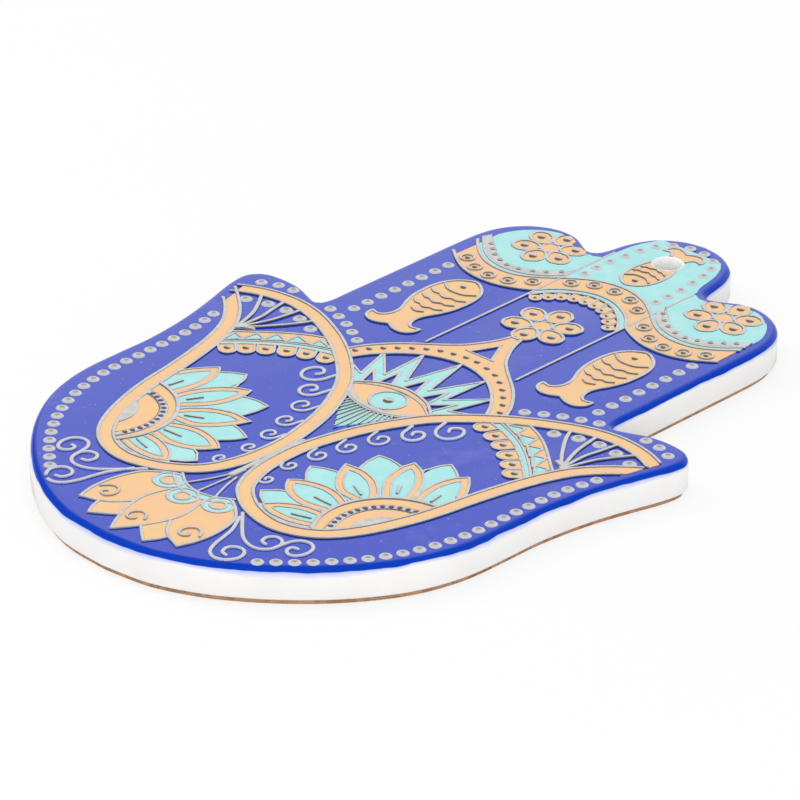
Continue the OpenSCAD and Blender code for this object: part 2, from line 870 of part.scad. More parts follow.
// Small turquoise triangles: left corner, upper right corner, lower right corner
teeth = [[[23.8, -1.2], [27.9, -0.1], [28, -3]], [[28.4, -2.8], [32.4, -1.8], [32.6, -5.6]],
  [[32.9, -5.2], [36, -4.1], [36.4, -8.4]], [[36.4, -7.7], [39.2, -6.7], [39.8, -11.4]],
  [[39.6, -10.6], [42.6, -9.8], [42.4, -14]]];

// Inside of the loop around the thumb, up to its edge beads
module thumb_area() {
  difference() {
    intersection() {
      inner_face();
      polygon([for (i = [0:8]) loop[i], [30, -22], for (i = [25:30]) loop[i]]);
    }
    loop_band();
  }
}

// One of the six lobes under the strip; each leans across the band
module thumb_lobe(i) {
  translate(thumb_pips[i]) rotate(-24 - 5 * i) {
    translate([-1.75, -0.6]) square([3.5, 4.4]);
    translate([0, -0.6]) circle(d = 3.5, $fn = 12);
  }
}

module under_strip() polygon(concat(smooth(strip_low, 2), [[42, -24], [14, -24], [14, -4]]));

module thumb_edges() {
  bead(band_top, lw * 0.9);
  bead(band_low, lw * 0.8);
  bead(strip_low, lw * 0.8);
  intersection() {
    for (i = [0:5]) rim(dw * 1.1) thumb_lobe(i);
    under_strip();
  }
  for (t = teeth) rim(dw * 1.3) polygon(t);
  for (f = fan) bead(f, dw * 1.65);
  polygon([[40.6, -5.2], [42.8, -5], [45.8, -6], [46, -10], [42, -7.4]]);
}

module thumb_gold(s) {
  color([1, 0.8, 0.58])
  fill() intersection() {
    inner_face();
    hand(s) intersection() {
      thumb_area();
      difference() {
        union() {
          polygon(concat(smooth(band_top, 2), back(smooth(band_low, 2))));
          intersection() {
            for (i = [0:5]) thumb_lobe(i);
            under_strip();
          }
        }
        thumb_edges();
        for (t = teeth) polygon(t);
      }
    }
  }
}

module thumb_turquoise(s) {
  color([0.66, 0.93, 0.92])
  fill() intersection() {
    inner_face();
    hand(s) intersection() {
      thumb_area();
      difference() {
        union() {
          for (t = teeth) polygon(t);
          polygon(concat(smooth(band_low, 2), back(smooth(strip_low, 2))));
        }
        thumb_edges();
      }
    }
  }
}

module thumb_lines(s) {
  color([0.75, 0.75, 0.78])
  union() {
    raised() intersection() {
      inner_face();
      hand(s) difference() {
        thumb_edges();
        loop_band(2 * gap);
        for (i = [0:4]) translate(fan_dots[i]) circle(d = 3.2, $fn = 10);
        outside_loop();
      }
    }
    raised(dot_h) intersection() {
      flat_face(0.2);
      hand(s) difference() {
        dots(fan_dots, 3, 10);
        loop_band(2 * gap);
      }
    }
    on_enamel() hand(s) dots(thumb_pips, pip_d * 1.1, 6);
  }
}
// The part of the plane beyond the loop's edge beads near the thumb
module outside_loop() {
  difference() {
    translate([10, -30]) square([60, 50]);
    polygon(concat([for (i = [0:10]) loop[i]], [for (i = [22:30]) loop[i]]));
  }
}

module thumb_left_gold() thumb_gold(-1);
module thumb_left_turquoise() thumb_turquoise(-1);
module thumb_left_lines() thumb_lines(-1);
module thumb_right_gold() thumb_gold(1);
module thumb_right_turquoise() thumb_turquoise(1);
module thumb_right_lines() thumb_lines(1);

// Lotus inside each loop

disc_edge = [[39.5, -36.7], [37, -36.9], [33.5, -37.8], [30.3, -39.4], [27.6, -41.7], [25.6, -44.4],
  [24.3, -47.3], [23.7, -50.2], [23.7, -53.2], [24.4, -56.5], [26.6, -61]];
pearl_row = [[35.6, -41.3], [32.5, -42.3], [29.7, -44.2], [27.7, -47.1], [26.8, -50.5],
  [26.9, -53.9], [27.8, -57.1]];
pearl_strip = concat([[39, -41.2]], pearl_row, [[29.4, -60.6]]);
core = [[36.5, -45.6], [35.2, -46.1], [33.2, -47.5], [31.9, -49.3], [31.1, -51.8], [31.1, -53.4],
  [31.6, -55], [33.5, -55.5], [37.5, -49]];
// Silver ground between the lowest petal and the loop
petal_back = [[12.8, -59.5], [15.2, -60.9], [18, -61.3], [21.5, -61.1], [25, -60], [26.8, -60.6],
  [23, -63.6], [17, -63.6], [12, -60.6]];
// Pointed petals, outer edge and inner edge, each as two sides that meet in the tip
petal_a = [[[38.8, -30.6], [37.6, -28.2], [35.8, -25.6], [33.8, -23.4]],
  [[33.8, -23.4], [32, -25.8], [31.2, -28.4], [30.9, -31], [31.3, -34.2], [32.4, -38.2]]];
petal_b = [[[32, -38.4], [31, -35.2], [29.6, -32.4], [27.6, -29.8], [25.3, -27.8], [22.2, -26.4]],
  [[22.2, -26.4], [21.6, -29.4], [21.9, -32.4], [22.8, -35.2], [24.5, -38], [27.6, -41.4]]];
petal_c = [[[26.8, -42.4], [25.4, -40.5], [23.2, -38.4], [21, -37], [17.5, -35.9], [12.9, -36.2]],
  [[12.9, -36.2], [14.4, -39.8], [16.2, -42.4], [18.2, -44.5], [20.6, -45.8], [25, -46]]];
petal_d = [[[24.3, -48], [20.6, -46.3], [17.2, -45.7], [13.6, -46.3], [11, -47.5], [9.4, -48.9]],
  [[9.4, -48.9], [11, -51.2], [13, -52.9], [15.8, -54], [19, -54.3], [24, -53.2]]];
petal_e = [[[23.9, -54], [20.2, -54.4], [17.2, -55.5], [14.7, -57.2], [12.8, -59.5]],
  [[12.8, -59.5], [15.2, -60.9], [18, -61.3], [21.5, -61.1], [25, -60]]];
petals = [petal_a, petal_b, petal_c, petal_d, petal_e];
// How each pointed petal goes on under the disc or the loop
petal_feet = [[[36, -41.5], [42, -34]], [[29.6, -44.6], [34, -41.6]], [[28.2, -47.5], [30, -44.5]],
  [[27.5, -53], [27.5, -48.5]], [[28.2, -58.6], [27.4, -54.5]]];
// Square-ended petals that show behind the pointed ones
leaf_1 = [[26.2, -29], [26.1, -25.9], [26.7, -23.6], [27.8, -21.9], [30.3, -23.3], [32.6, -25.2],
  [33.5, -32], [33.5, -40]];
leaf_2 = [[16.2, -36.4], [15.2, -32.4], [15.1, -29], [17.8, -28.7], [20.3, -29.1], [22.2, -29.8],
  [24, -33], [28.5, -44]];
leaf_3 = [[12.4, -47], [9.9, -44.2], [8.7, -41.8], [11, -40.6], [14.2, -39.7], [18, -39.5], [26, -47]];
leaf_4 = [[12, -52.9], [10.2, -54.3], [8.8, -55.8], [10.4, -57.7], [13, -59.4], [16.5, -58.5],
  [26, -56], [20, -51]];
leaves = [leaf_1, leaf_2, leaf_3, leaf_4];
// The short stroke on each pointed petal
veins = [[[34.9, -33], [35.4, -36.2]], [[26.8, -35.5], [28.4, -38.3]], [[20.5, -41.9], [23.8, -43.6]],
  [[18.2, -50.6], [22.4, -50.8]], [[19.7, -58.7], [23.4, -57.5]]];

module petal_outer(i)
  polygon(concat(smooth(petals[i][0], 1), smooth(petals[i][1], 1), petal_feet[i]));
module petal_inner(i) offset(delta = -1.45) petal_outer(i);
module all_petals() for (i = [0:4]) petal_outer(i);
module disc_area() polygon(concat(smooth(disc_edge, 2), [[33, -62], [41, -48]]));

// Inside of the loop around the lotus
module lotus_room() {
  difference() {
    polygon([for (i = [8:25]) loop[i]]);
    loop_band();
  }
}

module disc_edges(s) {
  bead(disc_edge, lw * 1.2);
  translate([0.55 * s, 0]) bead(pearl_strip, 2.2);
  rim(dw) polygon(core);
}

module lotus_edges() {
  for (i = [0:4]) {
    rim(dw * 1.2) petal_outer(i);
    difference() {
      rim(dw) petal_inner(i);
      disc_area();
    }
  }
  difference() {
    for (l = leaves) rim(dw * 1.2) polygon(l);
    all_petals();
  }
}

module lotus_gold(s) {
  color([1, 0.8, 0.58])
  fill() hand(s) intersection() {
    lotus_room();
    union() {
      difference() {
        all_petals();
        for (i = [0:4]) petal_inner(i);
        lotus_edges();
        disc_area();
        bead(disc_edge, lw);
      }
      difference() {
        disc_area();
        disc_edges(s);
        polygon(core);
      }
    }
  }
}

module lotus_turquoise(s) {
  color([0.66, 0.93, 0.92])
  fill() hand(s) intersection() {
    lotus_room();
    difference() {
      union() {
        for (i = [0:4]) petal_inner(i);
        difference() {
          for (l = leaves) polygon(l);
          all_petals();
        }
      }
      lotus_edges();
      disc_area();
      bead(disc_edge, lw);
    }
  }
}

module lotus_lines(s) {
  color([0.75, 0.75, 0.78])
  union() {
    raised() hand(s) intersection() {
      offset(delta = -gap) lotus_room();
      union() {
        difference() {
          lotus_edges();
          disc_area();
        }
        difference() {
          polygon(petal_back);
          petal_outer(4);
          disc_area();
        }
        intersection() {
          union() {
            disc_area();
            bead(disc_edge, lw);
          }
          union() {
            disc_edges(s);
            polygon(core);
          }
        }
      }
    }
    on_enamel() hand(s) for (v = veins) zigzag(v, dw);
    translate([0, 0, line_h - pad_h]) on_enamel(0.15) hand(s)
      translate([0.55 * s, 0]) dots(spread(pearl_row, 13), 1.1, 6);
  }
}

module lotus_left_gold() lotus_gold(-1);
module lotus_left_turquoise() lotus_turquoise(-1);
module lotus_left_lines() lotus_lines(-1);
module lotus_right_gold() lotus_gold(1);
module lotus_right_turquoise() lotus_turquoise(1);
module lotus_right_lines() lotus_lines(1);

// Palmette at the wrist, drawn about its own top centre and turned a little

module palmette_place() translate([0.3, -62]) rotate(-3) children();

outer_petal = [[9.4, -1.6], [12.6, -4.3], [14, -7], [14.9, -10.8], [15.1, -14], [14.8, -17.3],
  [13.8, -20.8]];
outer_petal_foot = [[13.8, -20.8], [12, -20.1], [10.2, -19.5], [8.6, -18.5], [7.2, -17.2],
  [5.4, -14.8]];
second_petal = [[9.9, -19.3], [9.2, -21.6], [7.8, -24]];
second_petal_foot = [[7.8, -24], [5.6, -22.4], [3.1, -20.3]];
middle_petal = [[4.2, -6], [5, -9], [5.4, -11.8], [5.1, -14.5], [4.3, -17.3], [3, -20.2],
  [1.5, -22.9], [0, -25.2]];
petal_curl = [[2.7, 0.2], [1.6, 1.7], [0, 2.2], [-1.3, 1.2], [-1.7, -0.5], [-0.9, -1.8],
  [0.3, -1.8], [0.9, -0.9], [0.3, -0.2]];
collar_top = [[0, -2.9], [3.9, -2.1], [7.4, 0.2]];
collar_low = [[0, -4.8], [4.2, -4], [8.5, -1.2]];
half_rings = [[-0.4, -6.2], [7, -3.7], [-7, -3.7]];
fan_ray = [[0.9, 6.8], [2.2, 2.6], [4, -1.6]];

module palmette_shape() {
  polygon(whole(concat([[0, -2]], smooth(outer_petal, 2), smooth(outer_petal_foot, 2),
    second_petal, second_petal_foot, [[2.6, -20.9], [1.5, -22.9], [0, -25.2]])));
}

module palmette_edges() {
  for (s = [-1, 1]) hand(s) {
    bead(outer_petal, lw);
    bead(outer_petal_foot, lw * 0.9);
    zigzag(second_petal, lw * 0.9);
    zigzag(second_petal_foot, lw * 0.9);
    bead(middle_petal, lw * 0.9);
  }
}

module collar_edges() {
  bead(both(collar_top), lw * 0.9);
  difference() {
    union() {
      bead(both(collar_low), lw * 0.7);
      for (c = half_rings) translate(c) {
        rim(lw * 0.7) circle(r = 3.1, $fn = 20);
        rim(lw * 0.7) circle(r = 1.6, $fn = 14);
      }
    }
    polygon(concat(both(collar_top), [[8, 6], [-8, 6]]));
  }
}

// The half rings stay below the collar
module ring_discs(r) {
  difference() {
    for (c = half_rings) translate(c) circle(r = r, $fn = 20);
    polygon(concat(both(collar_low), [[12, 6], [-12, 6]]));
  }
}

module collar_strip() polygon(concat(both(collar_top), back(both(collar_low))));

module palmette_gold() {
  color([1, 0.8, 0.58])
  fill() difference() {
    palmette_place() union() {
      difference() {
        palmette_shape();
        palmette_edges();
        polygon(concat(both(collar_low), [[12, 6], [-12, 6]]));
        ring_discs(3.1);
        collar_edges();
      }
      difference() {
        ring_discs(1.6);
        collar_edges();
      }
    }
    both_loops();
  }
}

module palmette_turquoise() {
  color([0.66, 0.93, 0.92])
  fill() difference() {
    palmette_place() difference() {
      union() {
        collar_strip();
        difference() {
          ring_discs(3.1);
          ring_discs(1.6);
        }
      }
      collar_edges();
    }
    both_loops();
  }
}

module palmette_lines() {
  color([0.75, 0.75, 0.78])
  union() {
    raised() difference() {
      palmette_place() union() {
        difference() {
          palmette_edges();
          polygon(concat(both(collar_low), [[12, 6], [-12, 6]]));
          ring_discs(3.1);
        }
        difference() {
          collar_edges();
          for (c = half_rings) translate(c) circle(r = 0.4);
        }
        bead([[0, 6], [0, -2.6]], dw);
        for (s = [-1, 1]) hand(s) bead(fan_ray, dw);
      }
      both_loops(2 * gap);
      offset(delta = gap) waist();
    }
    on_enamel() palmette_place() {
      for (s = [-1, 1]) hand(s)
        translate([11.4, -15.4]) bead(petal_curl, dw);
      translate([-0.5, -18.4]) bead(petal_curl * 0.9, dw);
    }
  }
}

// Scrolls on the blue ground

curl = [[-1.15, 1.1], [-1, 0.3], [-0.8, -0.45], [-0.3, -0.95], [0.3, -0.95], [0.75, -0.45],
  [0.8, 0.2], [0.45, 0.75], [0, 0.75], [-0.3, 0.35], [-0.1, -0.05]];
// Centre and size of the seven curls beside each loop, from the top down
curls = [[18.3, -11.6, 3.2], [14, -17.7, 2.5], [10.4, -23.9, 2.3], [8.2, -30.9, 2.1],
  [6.4, -37.4, 1.95], [5.3, -44.4, 1.65], [6.2, -51.8, 1.5]];
scroll_1 = [[13, -64.8], [17, -69.1], [20, -71.9], [22.8, -73.2], [25.3, -73], [26.9, -71.3],
  [27.1, -69], [26, -67.5], [24.2, -67.3], [23.1, -68.7], [23.5, -70.4], [24.8, -70.8]];
scroll_2 = [[27, -70.6], [27.3, -68.5], [27.7, -66.4], [29, -64.9], [31, -64.6], [32.6, -65.9],
  [33, -68.1], [32.2, -70.1], [30.7, -70.7], [29.3, -69.6], [29.4, -68.2], [30.5, -67.9]];
scroll_3 = [[14.4, -66.6], [16.7, -71], [17.6, -74], [18.4, -77.5], [19.7, -80.3], [21.7, -81.6],
  [24, -81], [25.5, -78.9], [25.2, -76.7], [23.7, -75.5], [21.9, -75.9], [21.1, -77.3], [21.7, -79],
  [23, -79.4]];

// The scrolls beside the palmette stand a little further to the left, like the palmette itself
module palmette_scrolls(s) {
  translate([-0.4, -0.2]) hand(s) bead(scroll_1, lw * 0.9);
  translate([-0.4, -0.2]) hand(s) bead(scroll_2, lw * 0.9);
  translate([-1, 0]) hand(s) bead(scroll_3, lw * 0.9);
}

module loop_curls(s) {
  hand(s) for (c = curls)
    translate([c[0], c[1]]) bead(curl * c[2], dw * (c[2] > 2.4 ? 1.2 : 1));
}

module scrolls(s) {
  color([0.75, 0.75, 0.78])
  raised() difference() {
    intersection() {
      flat_face();
      union() {
        loop_curls(s);
        palmette_scrolls(s);
      }
    }
    both_loops(2 * gap);
    palmette_place() offset(delta = lw / 2 + gap) palmette_shape();
    hand(s) dots(spread(border, 23), dot_d / k + 2 * gap);
  }
}
module scrolls_left() scrolls(-1);
module scrolls_right() scrolls(1);

// Dotted borders

border = [[52, -6.4], [50.1, -16.3], [49.5, -30.1], [49, -41], [46.5, -51.8], [41.8, -61.6],
  [35.2, -70.1], [28, -77]];
notch_row = [[22.8, 5.5], [29.5, 9.5], [36.6, 12.3]];
thumb_row = [[48, 13.2], [51.8, 12.8], [55.3, 11.3]];
side_row = [[33.3, 15.9], [33.3, 45]];
middle_row = [[9.7, 62.3], [9.8, 66.2], [9.7, 70.4], [9.2, 74.8], [8.7, 79], [7.6, 82.8],
  [5.5, 85.9], [1.9, 87.4]];

module border_dots() {
  color([0.75, 0.75, 0.78])
  raised(dot_h) intersection() {
    flat_face(0.1);
    for (s = [-1, 1]) hand(s) difference() {
      union() {
        dots(spread(border, 23), dot_d / k);
        dots(spread(thumb_row, 3), dot_d / k);
      }
      loop_band(2 * gap);
    }
  }
}

module finger_dots() {
  color([0.75, 0.75, 0.78])
  union() {
    raised(dot_h) for (s = [-1, 1]) hand(s) {
      dots(spread(side_row, 8), dot_d / k);
      dots(spread(notch_row, 5), dot_d / k);
    }
    on_enamel(dot_h - 0.2) intersection() {
      flat_face(0.1);
      translate([-0.4, -0.4]) for (s = [-1, 1]) hand(s) dots(middle_row, dot_d / k);
    }
  }
}

ceramic_body();
cobalt_glaze();
adhesive_film();
cork_pad();
fingertip_field_middle();
fingertip_field_left();
fingertip_field_right();
finger_lines();
wave_band_gold();
wave_band_lines();
wave_band_rings();
wave_strip_turquoise();
scallop_arch_gold();
scallop_arch_lines();
rosette_left_gold();
rosette_left_lines();
rosette_right_gold();
rosette_right_lines();
rosette_centre_gold();
rosette_centre_lines();
fish_left_gold();
fish_left_lines();
fish_right_gold();
fish_right_lines();
fish_middle_gold();
fish_middle_lines();
arch_gold();
arch_lines();
ray_crown_turquoise();
ray_crown_lines();
eye_gold();
eye_iris();
eye_lines();
eye_pupil();
lash_turquoise();
lash_lines();
loop_left_gold();
loop_left_lines();
loop_right_gold();
loop_right_lines();
thumb_left_gold();
thumb_left_turquoise();
thumb_left_lines();
thumb_right_gold();
thumb_right_turquoise();
thumb_right_lines();
lotus_left_gold();
lotus_left_turquoise();
lotus_left_lines();
lotus_right_gold();
lotus_right_turquoise();
lotus_right_lines();
palmette_gold();
palmette_turquoise();
palmette_lines();
scrolls_left();
scrolls_right();
border_dots();
finger_dots();
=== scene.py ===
"""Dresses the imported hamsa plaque: glazed plate, lustre beads, enamel fields, dots and cork."""

import logging
import math
from collections.abc import Callable, Iterable, Sequence
from dataclasses import dataclass, field, replace
from enum import Enum

import bmesh
import bpy
from mathutils import Matrix, Vector
from mathutils.kdtree import KDTree


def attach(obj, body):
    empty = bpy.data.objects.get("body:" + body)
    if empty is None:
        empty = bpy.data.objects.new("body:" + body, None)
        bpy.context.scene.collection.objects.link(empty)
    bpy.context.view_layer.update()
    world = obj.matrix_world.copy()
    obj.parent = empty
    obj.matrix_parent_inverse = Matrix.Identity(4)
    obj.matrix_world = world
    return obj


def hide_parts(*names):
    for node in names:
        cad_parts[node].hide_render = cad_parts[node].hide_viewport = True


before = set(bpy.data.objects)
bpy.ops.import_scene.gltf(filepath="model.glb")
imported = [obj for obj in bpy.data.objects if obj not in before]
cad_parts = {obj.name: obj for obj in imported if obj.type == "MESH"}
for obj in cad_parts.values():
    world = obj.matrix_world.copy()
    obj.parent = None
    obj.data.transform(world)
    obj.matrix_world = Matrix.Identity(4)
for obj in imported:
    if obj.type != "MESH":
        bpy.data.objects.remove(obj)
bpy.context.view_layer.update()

LOG = logging.getLogger("hamsa")

MM = 0.001
Point = tuple[float, float]
Line = list[Point]
Points = tuple[Point, ...]
Colour = tuple[float, float, float]

# Levels above the ground, in millimetres
FILM_Z = 1.0
BODY_Z = 1.15
BODY_TOP = 7.85
FACE_Z = 8.15
ENAMEL_H = 0.22
# How far the middle of the hanging hole is above the middle of the plate, in millimetres
HOLE_Y = 77.4
# Middle of the rosette on top of the arch's spire
CENTRE_ROSETTE = (-0.2, 37.1)
# Width and height of the large lustre dots, in millimetres
DOT_W = 2.7
DOT_H = 0.36
# Widths of the piped beads, in millimetres
BEAD = 0.82
FINE = 0.55
# How far the printed decoration sits from the middle of the plate
PRINT_X = 0.9
PRINT_Y = -0.6


class Side(Enum):
    """The half of the plaque that a motif is drawn on."""

    LEFT = -1
    RIGHT = 1

    @property
    def word(self) -> str:
        """Returns the side's name, as the CAD nodes have it."""
        return self.name.lower()


SIDES = (Side.LEFT, Side.RIGHT)


def between(a: Point, b: Point, c: Point, d: Point, t: float) -> Point:
    """Returns one point of a smooth curve between b and c, with a and d as neighbours.

    Args:
        a: Point before the stretch.
        b: Start of the stretch.
        c: End of the stretch.
        d: Point after the stretch.
        t: Share of the way from b to c.

    Returns:
        The point on the curve.
    """
    def one(p: float, q: float, r: float, s: float) -> float:
        """Returns one coordinate of the point."""
        return 0.5 * (2 * q + (r - p) * t + (2 * p - 5 * q + 4 * r - s) * t * t
                      + (3 * q - p - 3 * r + s) * t ** 3)

    return (one(a[0], b[0], c[0], d[0]), one(a[1], b[1], c[1], d[1]))


def smooth(points: Sequence[Point], steps: int = 6, closed: bool = False) -> Line:
    """Returns a smooth line through the points.

    Args:
        points: The given points.
        steps: Points made for each stretch between two of them.
        closed: True where the line runs on from its end to its start.

    Returns:
        The points of the smooth line; a closed line doesn't repeat its start.
    """
    n = len(points)
    pick = (lambda i: points[i % n]) if closed else (lambda i: points[max(0, min(n - 1, i))])
    made = [between(pick(i - 1), pick(i), pick(i + 1), pick(i + 2), j / steps)
            for i in range(n if closed else n - 1) for j in range(steps)]
    return made if closed else made + [tuple(points[-1])]


def back(line: Sequence[Point]) -> Line:
    """Returns the line run the other way."""
    return list(reversed(line))


def flip(line: Sequence[Point]) -> Line:
    """Returns the line mirrored in the centre line."""
    return [(-x, y) for x, y in line]


def sided(line: Sequence[Point], side: Side) -> Line:
    """Returns a line that is drawn on the right, mirrored where it belongs on the left."""
    return [(x * side.value, y) for x, y in line]


def both(line: Sequence[Point]) -> Line:
    """Returns a half line that starts on the centre line, completed by its mirror image."""
    return flip(back(line))[:-1] + list(line)


def whole(line: Sequence[Point]) -> Line:
    """Returns a half outline that starts and ends on the centre line, completed and closed."""
    return list(line) + flip(back(line))[1:-1]


def turned(line: Sequence[Point], at: Point, degrees: float = 0.0, size: float = 1.0) -> Line:
    """Returns the line scaled and turned about the origin, then moved.

    Args:
        line: Points about the origin.
        at: Where the origin goes.
        degrees: Turn, anticlockwise seen from above.
        size: Scale factor.

    Returns:
        The placed points.
    """
    c, s = math.cos(math.radians(degrees)) * size, math.sin(math.radians(degrees)) * size
    return [(x * c - y * s + at[0], x * s + y * c + at[1]) for x, y in line]


def circle(at: Point, radius: float, count: int = 40) -> Line:
    """Returns the points of a circle."""
    return [(at[0] + radius * math.cos(2 * math.pi * i / count),
             at[1] + radius * math.sin(2 * math.pi * i / count)) for i in range(count)]


def beside(line: Sequence[Point], distance: float) -> Line:
    """Returns a line that runs beside another, to its left where distance is positive.

    Args:
        line: The line to follow.
        distance: Space between the two.

    Returns:
        The points of the line beside it.
    """
    made = []
    for i, (x, y) in enumerate(line):
        a, b = line[max(i - 1, 0)], line[min(i + 1, len(line) - 1)]
        dx, dy = b[0] - a[0], b[1] - a[1]
        long = math.hypot(dx, dy) or 1.0
        made.append((x - dy / long * distance, y + dx / long * distance))
    return made


def paced(line: Sequence[Point], pace: float = 0.3, closed: bool = False) -> Line:
    """Returns the same line with its points at an even pace.

    Args:
        line: The points of the line.
        pace: Space between two points.
        closed: True where the line runs on to its start.

    Returns:
        The evenly paced points.
    """
    points = list(line) + ([line[0]] if closed else [])
    steps = [math.dist(a, b) for a, b in zip(points, points[1:])]
    total = sum(steps)
    count = max(2, round(total / pace))
    made, i, gone = [], 0, 0.0
    for k in range(count + (0 if closed else 1)):
        want = total * k / count
        while i < len(steps) - 1 and gone + steps[i] < want:
            gone += steps[i]
            i += 1
        t = min(1.0, (want - gone) / (steps[i] or 1.0))
        a, b = points[i], points[i + 1]
        made.append((a[0] + (b[0] - a[0]) * t, a[1] + (b[1] - a[1]) * t))
    return made


def spread(points: Sequence[Point], count: int) -> Line:
    """Returns count points spread evenly along the smooth line through the points."""
    line = smooth(points, 8)
    total = sum(math.dist(a, b) for a, b in zip(line, line[1:]))
    return paced(line, total / (count - 1))


def runs(points: Sequence[Point], closed: bool = False,
         corner: float = 42.0) -> list[tuple[Line, bool]]:
    """Splits a line at its sharp corners and smooths each part.

    Args:
        points: The given points.
        closed: True for an outline.
        corner: Least turn, in degrees, that counts as a corner.

    Returns:
        The smooth parts, each with True where it is closed.
    """
    n = len(points)

    def turn(i: int) -> float:
        """Returns the turn of the line at point i, in degrees."""
        a, b, c = points[i - 1], points[i], points[(i + 1) % n]
        first = math.atan2(b[1] - a[1], b[0] - a[0])
        second = math.atan2(c[1] - b[1], c[0] - b[0])
        return abs(math.degrees(math.remainder(second - first, math.tau)))

    inner = range(n) if closed else range(1, n - 1)
    breaks = [i for i in inner if turn(i) > corner]
    if closed and not breaks:
        return [(smooth(points, 6, closed=True), True)]
    if closed:
        ordered = list(points[breaks[0]:]) + list(points[:breaks[0] + 1])
        marks = [0] + [b - breaks[0] for b in breaks[1:]] + [n]
    else:
        ordered = list(points)
        marks = [0] + breaks + [n - 1]
    return [(smooth(ordered[a:b + 1]), False) for a, b in zip(marks, marks[1:])]


class Area:
    """A closed flat shape that tells whether a point lies in it."""

    def __init__(self, outline: Sequence[Point]) -> None:
        """Keeps the outline and its box.

        Args:
            outline: Points of the closed outline.
        """
        self.outline = list(outline)
        xs, ys = zip(*self.outline)
        self.box = (min(xs), min(ys), max(xs), max(ys))

    def has(self, p: Point) -> bool:
        """Returns True where the point lies inside."""
        x, y = p
        if not (self.box[0] <= x <= self.box[2] and self.box[1] <= y <= self.box[3]):
            return False
        inside = False
        ax, ay = self.outline[-1]
        for bx, by in self.outline:
            if (ay > y) != (by > y) and x < (bx - ax) * (y - ay) / (by - ay) + ax:
                inside = not inside
            ax, ay = bx, by
        return inside

    def moved(self, dx: float, dy: float) -> "Area":
        """Returns the same shape somewhere else."""
        return Area([(x + dx, y + dy) for x, y in self.outline])


@dataclass
class Stroke:
    """One piped bead, in the coordinates of the decoration."""

    line: Line
    width: float = BEAD
    closed: bool = False
    lift: float = 0.0

    def kept(self, test: Callable[[Point], bool]) -> list["Stroke"]:
        """Cuts the bead where a test fails.

        Args:
            test: Says whether a point of the bead stays.

        Returns:
            The stretches that stay.
        """
        line = paced(self.line, 0.25, self.closed)
        stays = [test(p) for p in line]
        if all(stays):
            return [replace(self, line=line)]
        if self.closed:
            first = stays.index(False)
            line, stays = line[first:] + line[:first], stays[first:] + stays[:first]
        made, run = [], []
        for p, stay in zip(line + [line[-1]], stays + [False]):
            if stay:
                run.append(p)
            else:
                if len(run) > 2:
                    made.append(replace(self, line=run, closed=False))
                run = []
        return made


def strokes(points: Sequence[Point], width: float = BEAD, closed: bool = False,
            lift: float = 0.0) -> list[Stroke]:
    """Returns the beads along a line, one for each stretch between two sharp corners."""
    return [Stroke(line, width, loop, lift) for line, loop in runs(points, closed)]


def trimmed(made: Iterable[Stroke], inside: Sequence[Area] = (),
            outside: Sequence[Area] = ()) -> list[Stroke]:
    """Keeps the stretches of some beads that lie where they are wanted.

    Args:
        made: The beads.
        inside: Shapes that a stretch has to lie in.
        outside: Shapes that a stretch has to stay out of.

    Returns:
        The stretches that stay.
    """
    def test(p: Point) -> bool:
        """Returns True where the point stays."""
        return all(a.has(p) for a in inside) and not any(a.has(p) for a in outside)

    return [part for one in made for part in one.kept(test)]


def mirrored(made: Iterable[Stroke], side: Side) -> list[Stroke]:
    """Returns the beads of the right half, or their mirror images for the left."""
    return [replace(s, line=sided(s.line, side)) for s in made]


def shifted(made: Iterable[Stroke], at: Point, degrees: float = 0.0) -> list[Stroke]:
    """Returns the beads turned about the origin and moved."""
    return [replace(s, line=turned(s.line, at, degrees)) for s in made]


@dataclass
class Dome:
    """One raised dot, in the coordinates of the decoration."""

    at: Point
    width: float
    height: float
    lift: float = 0.0
    heart: float = 0.0
    pearl: float = 0.0


def domes(points: Iterable[Point], width: float, height: float, lift: float = 0.0,
          heart: float = 0.0) -> list[Dome]:
    """Returns one dot at each point; a dot with a full heart also has a pearly rim."""
    return [Dome(p, width, height, lift, heart, float(heart > 0.9)) for p in points]


HALF_OUTLINE: Line = [
    (0, 90.5), (5, 89.5), (9.9, 86.2), (12.4, 82.2), (13.6, 78.5), (14.2, 75), (14.8, 72.7),
    (16, 71.5), (18, 72.1), (22.4, 74.6), (26, 75.2), (29.5, 74.6), (33, 72.8), (36, 69.9),
    (38.2, 66), (39.3, 61.5), (39.6, 56), (39.6, 45), (39.6, 30), (39.6, 20), (39.6, 15.4),
    (40.6, 13), (43.8, 14), (47.2, 15.4), (51, 16), (54.6, 15.9), (57.3, 15.2), (59.5, 13.2),
    (60.4, 10.4), (59.7, 5.5), (58, -0.5), (56.4, -6.5), (55.1, -12.5), (54.2, -18.5),
    (53.6, -25), (53.5, -33), (53.2, -42), (52, -49), (49.7, -55.8), (46.2, -62.2),
    (41.5, -68.6), (35.8, -74.6), (29, -80.3), (21, -85.4), (11, -89.3), (0, -90.5)]


